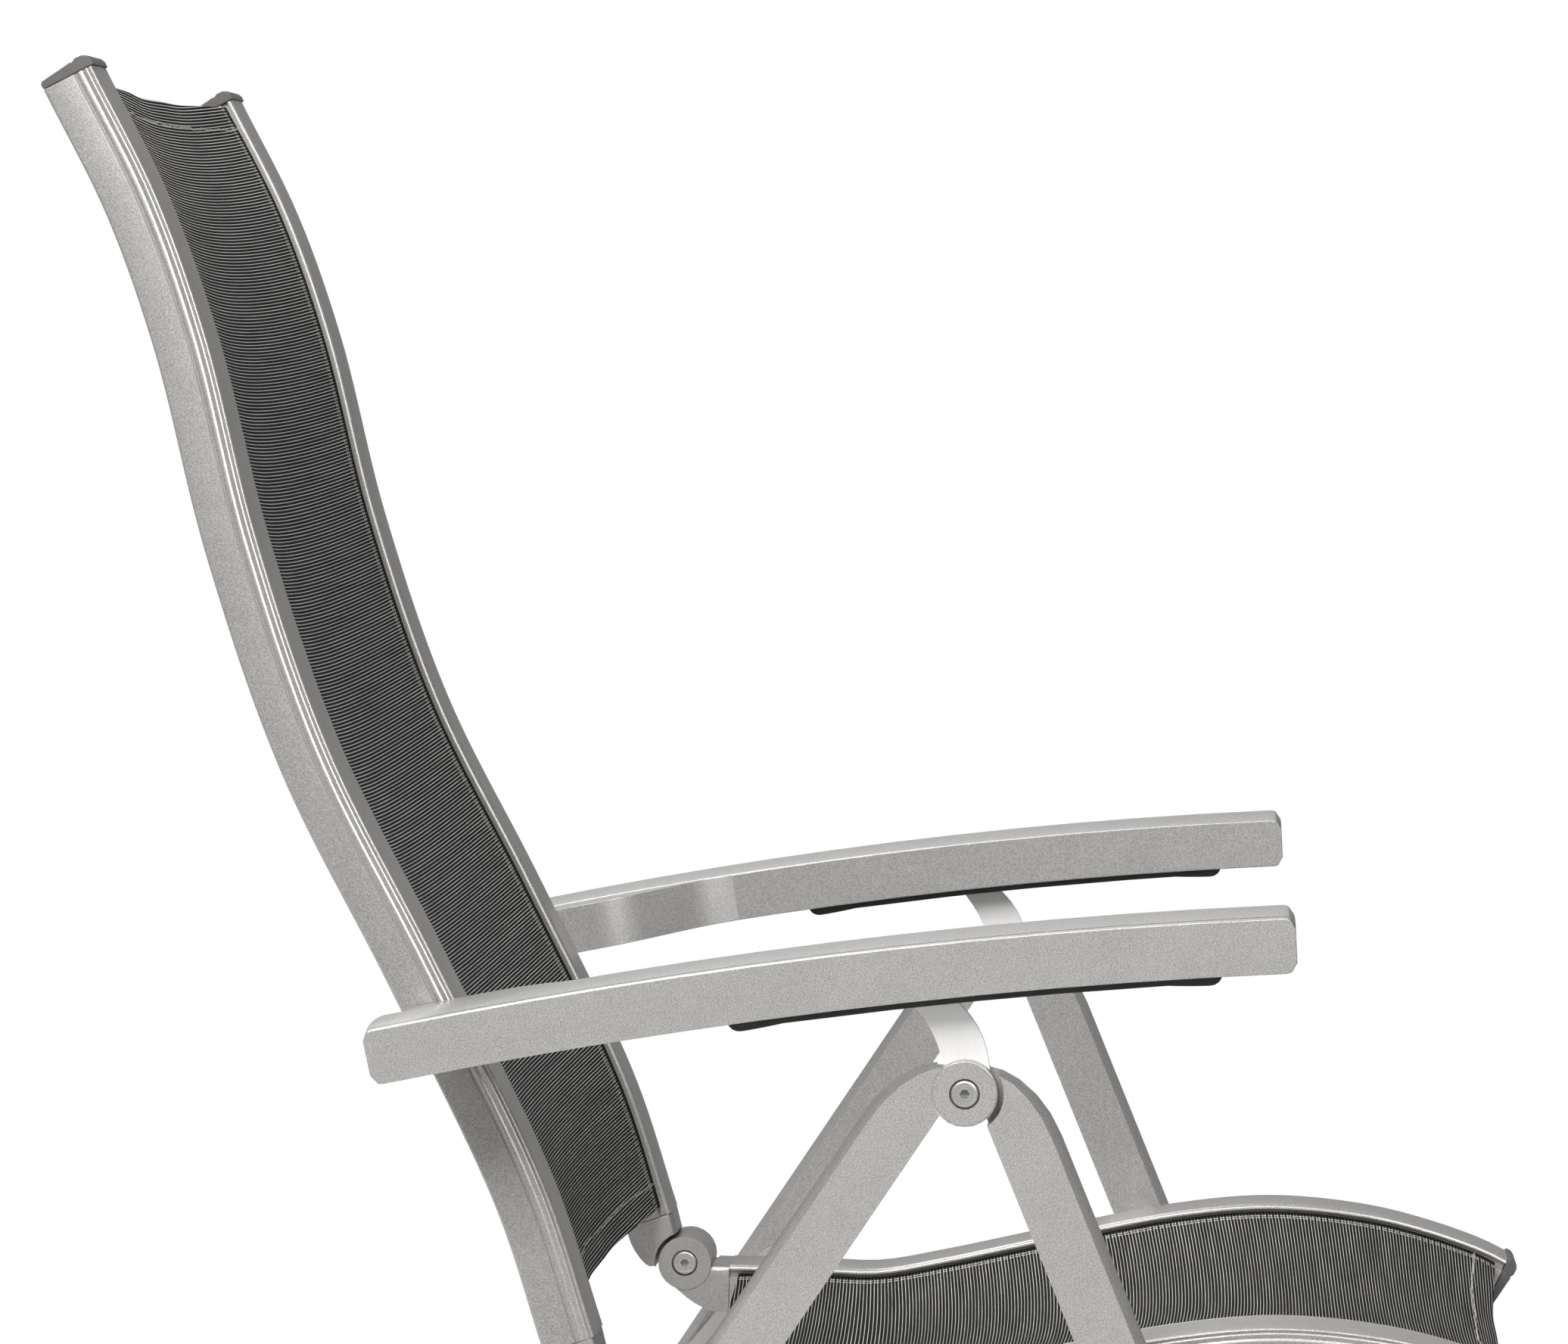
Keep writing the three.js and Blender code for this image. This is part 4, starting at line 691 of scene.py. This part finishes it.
def without(piece, tool):
    """Cuts a tool out of a piece and throws the tool away."""
    apply(piece, "BOOLEAN", operation="DIFFERENCE", object=tool, solver="EXACT")
    bpy.data.objects.remove(tool, do_unlink=True)


EYE_RADIUS = 15.4 * MM
EYE_GROOVE = 0.6 * MM


def ring_cut(piece, node):
    """A fine groove round the rear leg's eye, where the eye meets the flat of the leg."""
    nothing_selected()
    bpy.ops.mesh.primitive_torus_add(
        major_radius=EYE_RADIUS, minor_radius=EYE_GROOVE, major_segments=72, minor_segments=8,
        location=(side_faces(node)[0], LEG_PIVOT.y, LEG_PIVOT.z), rotation=(0, math.pi / 2, 0))
    without(piece, bpy.context.object)
    smooth(piece)
    apply(piece, "WEIGHTED_NORMAL", keep_sharp=True)


# Each piece with its finish, the width of its rounded edges in millimetres and their segments
FINISHES = [
    ("armrest", ARM_COAT, 0.9, 3), ("armrest_knuckle", ARM_COAT, 0.4, 2),
    ("back_knuckle", CAST, 0.5, 2), ("seat_knuckle", CAST, 0.5, 2),
    ("stay", PAINTED_SHEEN_STEEL, 0.4, 2), ("stay_pin", BAR_STEEL, 0.4, 2),
    ("armrest_rack", RACK, 0.5, 2), ("armrest_bush", SCREW, 0.4, 2),
    ("back_rail_cap", CAP, 0.6, 3), ("seat_rail_cap", CAP, 0.6, 3),
    ("front_foot", FOOT, 2.0, 3), ("rear_foot", FOOT, 2.0, 3),
    ("slide_track", BAR_STEEL, 0.4, 2), ("seat_slide_pin", BAR_STEEL, 0.5, 2),
    ("seat_pivot_bolt", SCREW, 0.4, 2), ("armrest_bolt", SCREW, 0.4, 2),
]

for label in ("right", "left"):
    edged("front_leg_" + label, LEG_COAT, 0.9 * MM, 3)
    rear_leg = "rear_leg_" + label
    ring_cut(edged(rear_leg, LEG_COAT, 0.9 * MM, 3), rear_leg)
    for part, material, edge, segments in FINISHES:
        edged(f"{part}_{label}", material, edge * MM, segments)


# Screws with a domed head and a hexagon socket

def turned(name, stations, spot, sides=48):
    """A solid turned about a line along X, from pairs of place on X and radius."""
    angles = [2 * math.pi * i / sides for i in range(sides)]
    around = [Vector((0, math.cos(angle), math.sin(angle))) for angle in angles]
    return lofted(name, [[Vector((x, spot.y, spot.z)) + way * radius for way in around]
                         for x, radius in stations])


# Steps out from the head's and the nut's outer face, with the radius there, in millimetres
HEAD_PROFILE = [
    (0, 3.5), (-0.2, 3.7), (-0.2, 4.5), (0, 4.7), (0, 5.6), (-0.3, 6.2), (-0.9, 6.65),
    (-1.5, 6.75), (-3.4, 6.75), (-3.4, 4), (-3.7, 4),
]
NUT_PROFILE = [(3.7, 4), (3.4, 4), (3.4, 6.5), (0.3, 6.5), (0, 6.2)]
SOCKET_RADIUS = 2.4 * MM
SOCKET_TOOL = 9 * MM
LEG_SHANK, HINGE_SHANK = 3.9 * MM, 7.6 * MM


def socket_screw(node, head_x, nut_x, spot, shank):
    """A screw along X from its head's outer face to its nut's outer face, with its shank's
    radius."""
    away = math.copysign(MM, head_x - nut_x)
    stations = [(head_x + away * drop, radius * MM) for drop, radius in HEAD_PROFILE]
    stations += [(stations[-1][0], shank), (nut_x + away * NUT_PROFILE[0][0], shank)]
    stations += [(nut_x + away * drop, radius * MM) for drop, radius in NUT_PROFILE]
    piece = turned(node + "_turned", stations, spot)
    nothing_selected()
    bpy.ops.mesh.primitive_cylinder_add(
        vertices=6, radius=SOCKET_RADIUS, depth=SOCKET_TOOL,
        location=(head_x, spot.y, spot.z), rotation=(0, math.pi / 2, 0))
    without(piece, bpy.context.object)
    smooth(piece, 30)
    place_on(piece, node, SCREW)


for label in ("right", "left"):
    outer, inner = side_faces("leg_pivot_bolt_" + label)
    socket_screw("leg_pivot_bolt_" + label, outer, inner, LEG_PIVOT, LEG_SHANK)
    outer, inner = side_faces("hinge_bolt_" + label)
    socket_screw("hinge_bolt_" + label, inner, outer, HINGE, HINGE_SHANK)


# Floor, backdrop and studio light

WHITE = (1, 1, 1, 1)
FLOOR_RADIUS = 2.2

nothing_selected()
bpy.ops.mesh.primitive_circle_add(vertices=96, radius=FLOOR_RADIUS, fill_type="NGON",
                                  location=(0, 0, 0))
floor = bpy.context.object
floor.name = "studio_floor"

# Pale matt floor that fades into the white backdrop at its rim
floor_material = bpy.data.materials.new("pale_matt_floor")
floor_material.use_nodes = True
floor_tree = floor_material.node_tree
floor_tree.nodes.clear()
floor_spot = add(floor_tree, "ShaderNodeTexCoord").outputs["Object"]
floor_reach = add(floor_tree, "ShaderNodeVectorMath", {0: floor_spot},
                  operation="LENGTH").outputs["Value"]
floor_fade = add(floor_tree, "ShaderNodeMapRange", {
    "Value": floor_reach, "From Min": 0.9, "From Max": 2.1, "To Min": 0.0, "To Max": 1.0})
floor_paint = add(floor_tree, "ShaderNodeBsdfDiffuse", {"Color": linear("#e6e6e4")})
floor_white = add(floor_tree, "ShaderNodeEmission", {"Color": WHITE, "Strength": 1.0})
floor_mix = add(floor_tree, "ShaderNodeMixShader", {
    "Fac": floor_fade, 1: floor_paint, 2: floor_white})
add(floor_tree, "ShaderNodeOutputMaterial", {"Surface": floor_mix})
floor.data.materials.append(floor_material)

# Pale sweep behind the chair, dim studio on the camera's side, white where the camera looks
world = bpy.data.worlds.new("studio")
bpy.context.scene.world = world
world.use_nodes = True
sky = world.node_tree
sky.nodes.clear()
seen = add(sky, "ShaderNodeLightPath").outputs
shown = add(sky, "ShaderNodeMath", {0: seen["Is Camera Ray"], 1: seen["Is Transmission Ray"]},
            operation="MAXIMUM")
way = add(sky, "ShaderNodeTexCoord").outputs["Generated"]
behind = add(sky, "ShaderNodeSeparateXYZ", {"Vector": way}).outputs["X"]
strength = add(sky, "ShaderNodeMapRange", {
    "Value": behind, "From Min": -0.4, "From Max": 0.7, "To Min": 0.18, "To Max": 0.3})
ambient = add(sky, "ShaderNodeBackground", {"Color": WHITE, "Strength": strength})
backdrop = add(sky, "ShaderNodeBackground", {"Color": WHITE, "Strength": 1.0})
blend = add(sky, "ShaderNodeMixShader", {"Fac": shown, 1: ambient, 2: backdrop})
add(sky, "ShaderNodeOutputWorld", {"Surface": blend})


def soft_light(name, place, aim, size, size_y, power):
    data = bpy.data.lights.new(name, "AREA")
    data.shape = "RECTANGLE"
    data.size = size
    data.size_y = size_y
    data.energy = power
    lamp = bpy.data.objects.new(name, data)
    bpy.context.collection.objects.link(lamp)
    lamp.location = place
    lamp.rotation_euler = (Vector(aim) - Vector(place)).to_track_quat("-Z", "Y").to_euler()
    return lamp


soft_light("top_light", (0.5, 1.2, 3.0), (0, 0, 0.6), 1.5, 1.5, 92)
soft_light("side_light", (-2.3, 0.5, 2.2), (0, 0, 0.6), 1.1, 1.1, 68)
# Tall strip that only shows as the bright line along rounded edges
edge_strip = soft_light("edge_strip", (-2.3, -1.1, 1.7), (0, 0, 0.7), 0.3, 1.2, 55)
edge_strip.visible_diffuse = False

scene = bpy.context.scene
scene.view_settings.view_transform = "Standard"
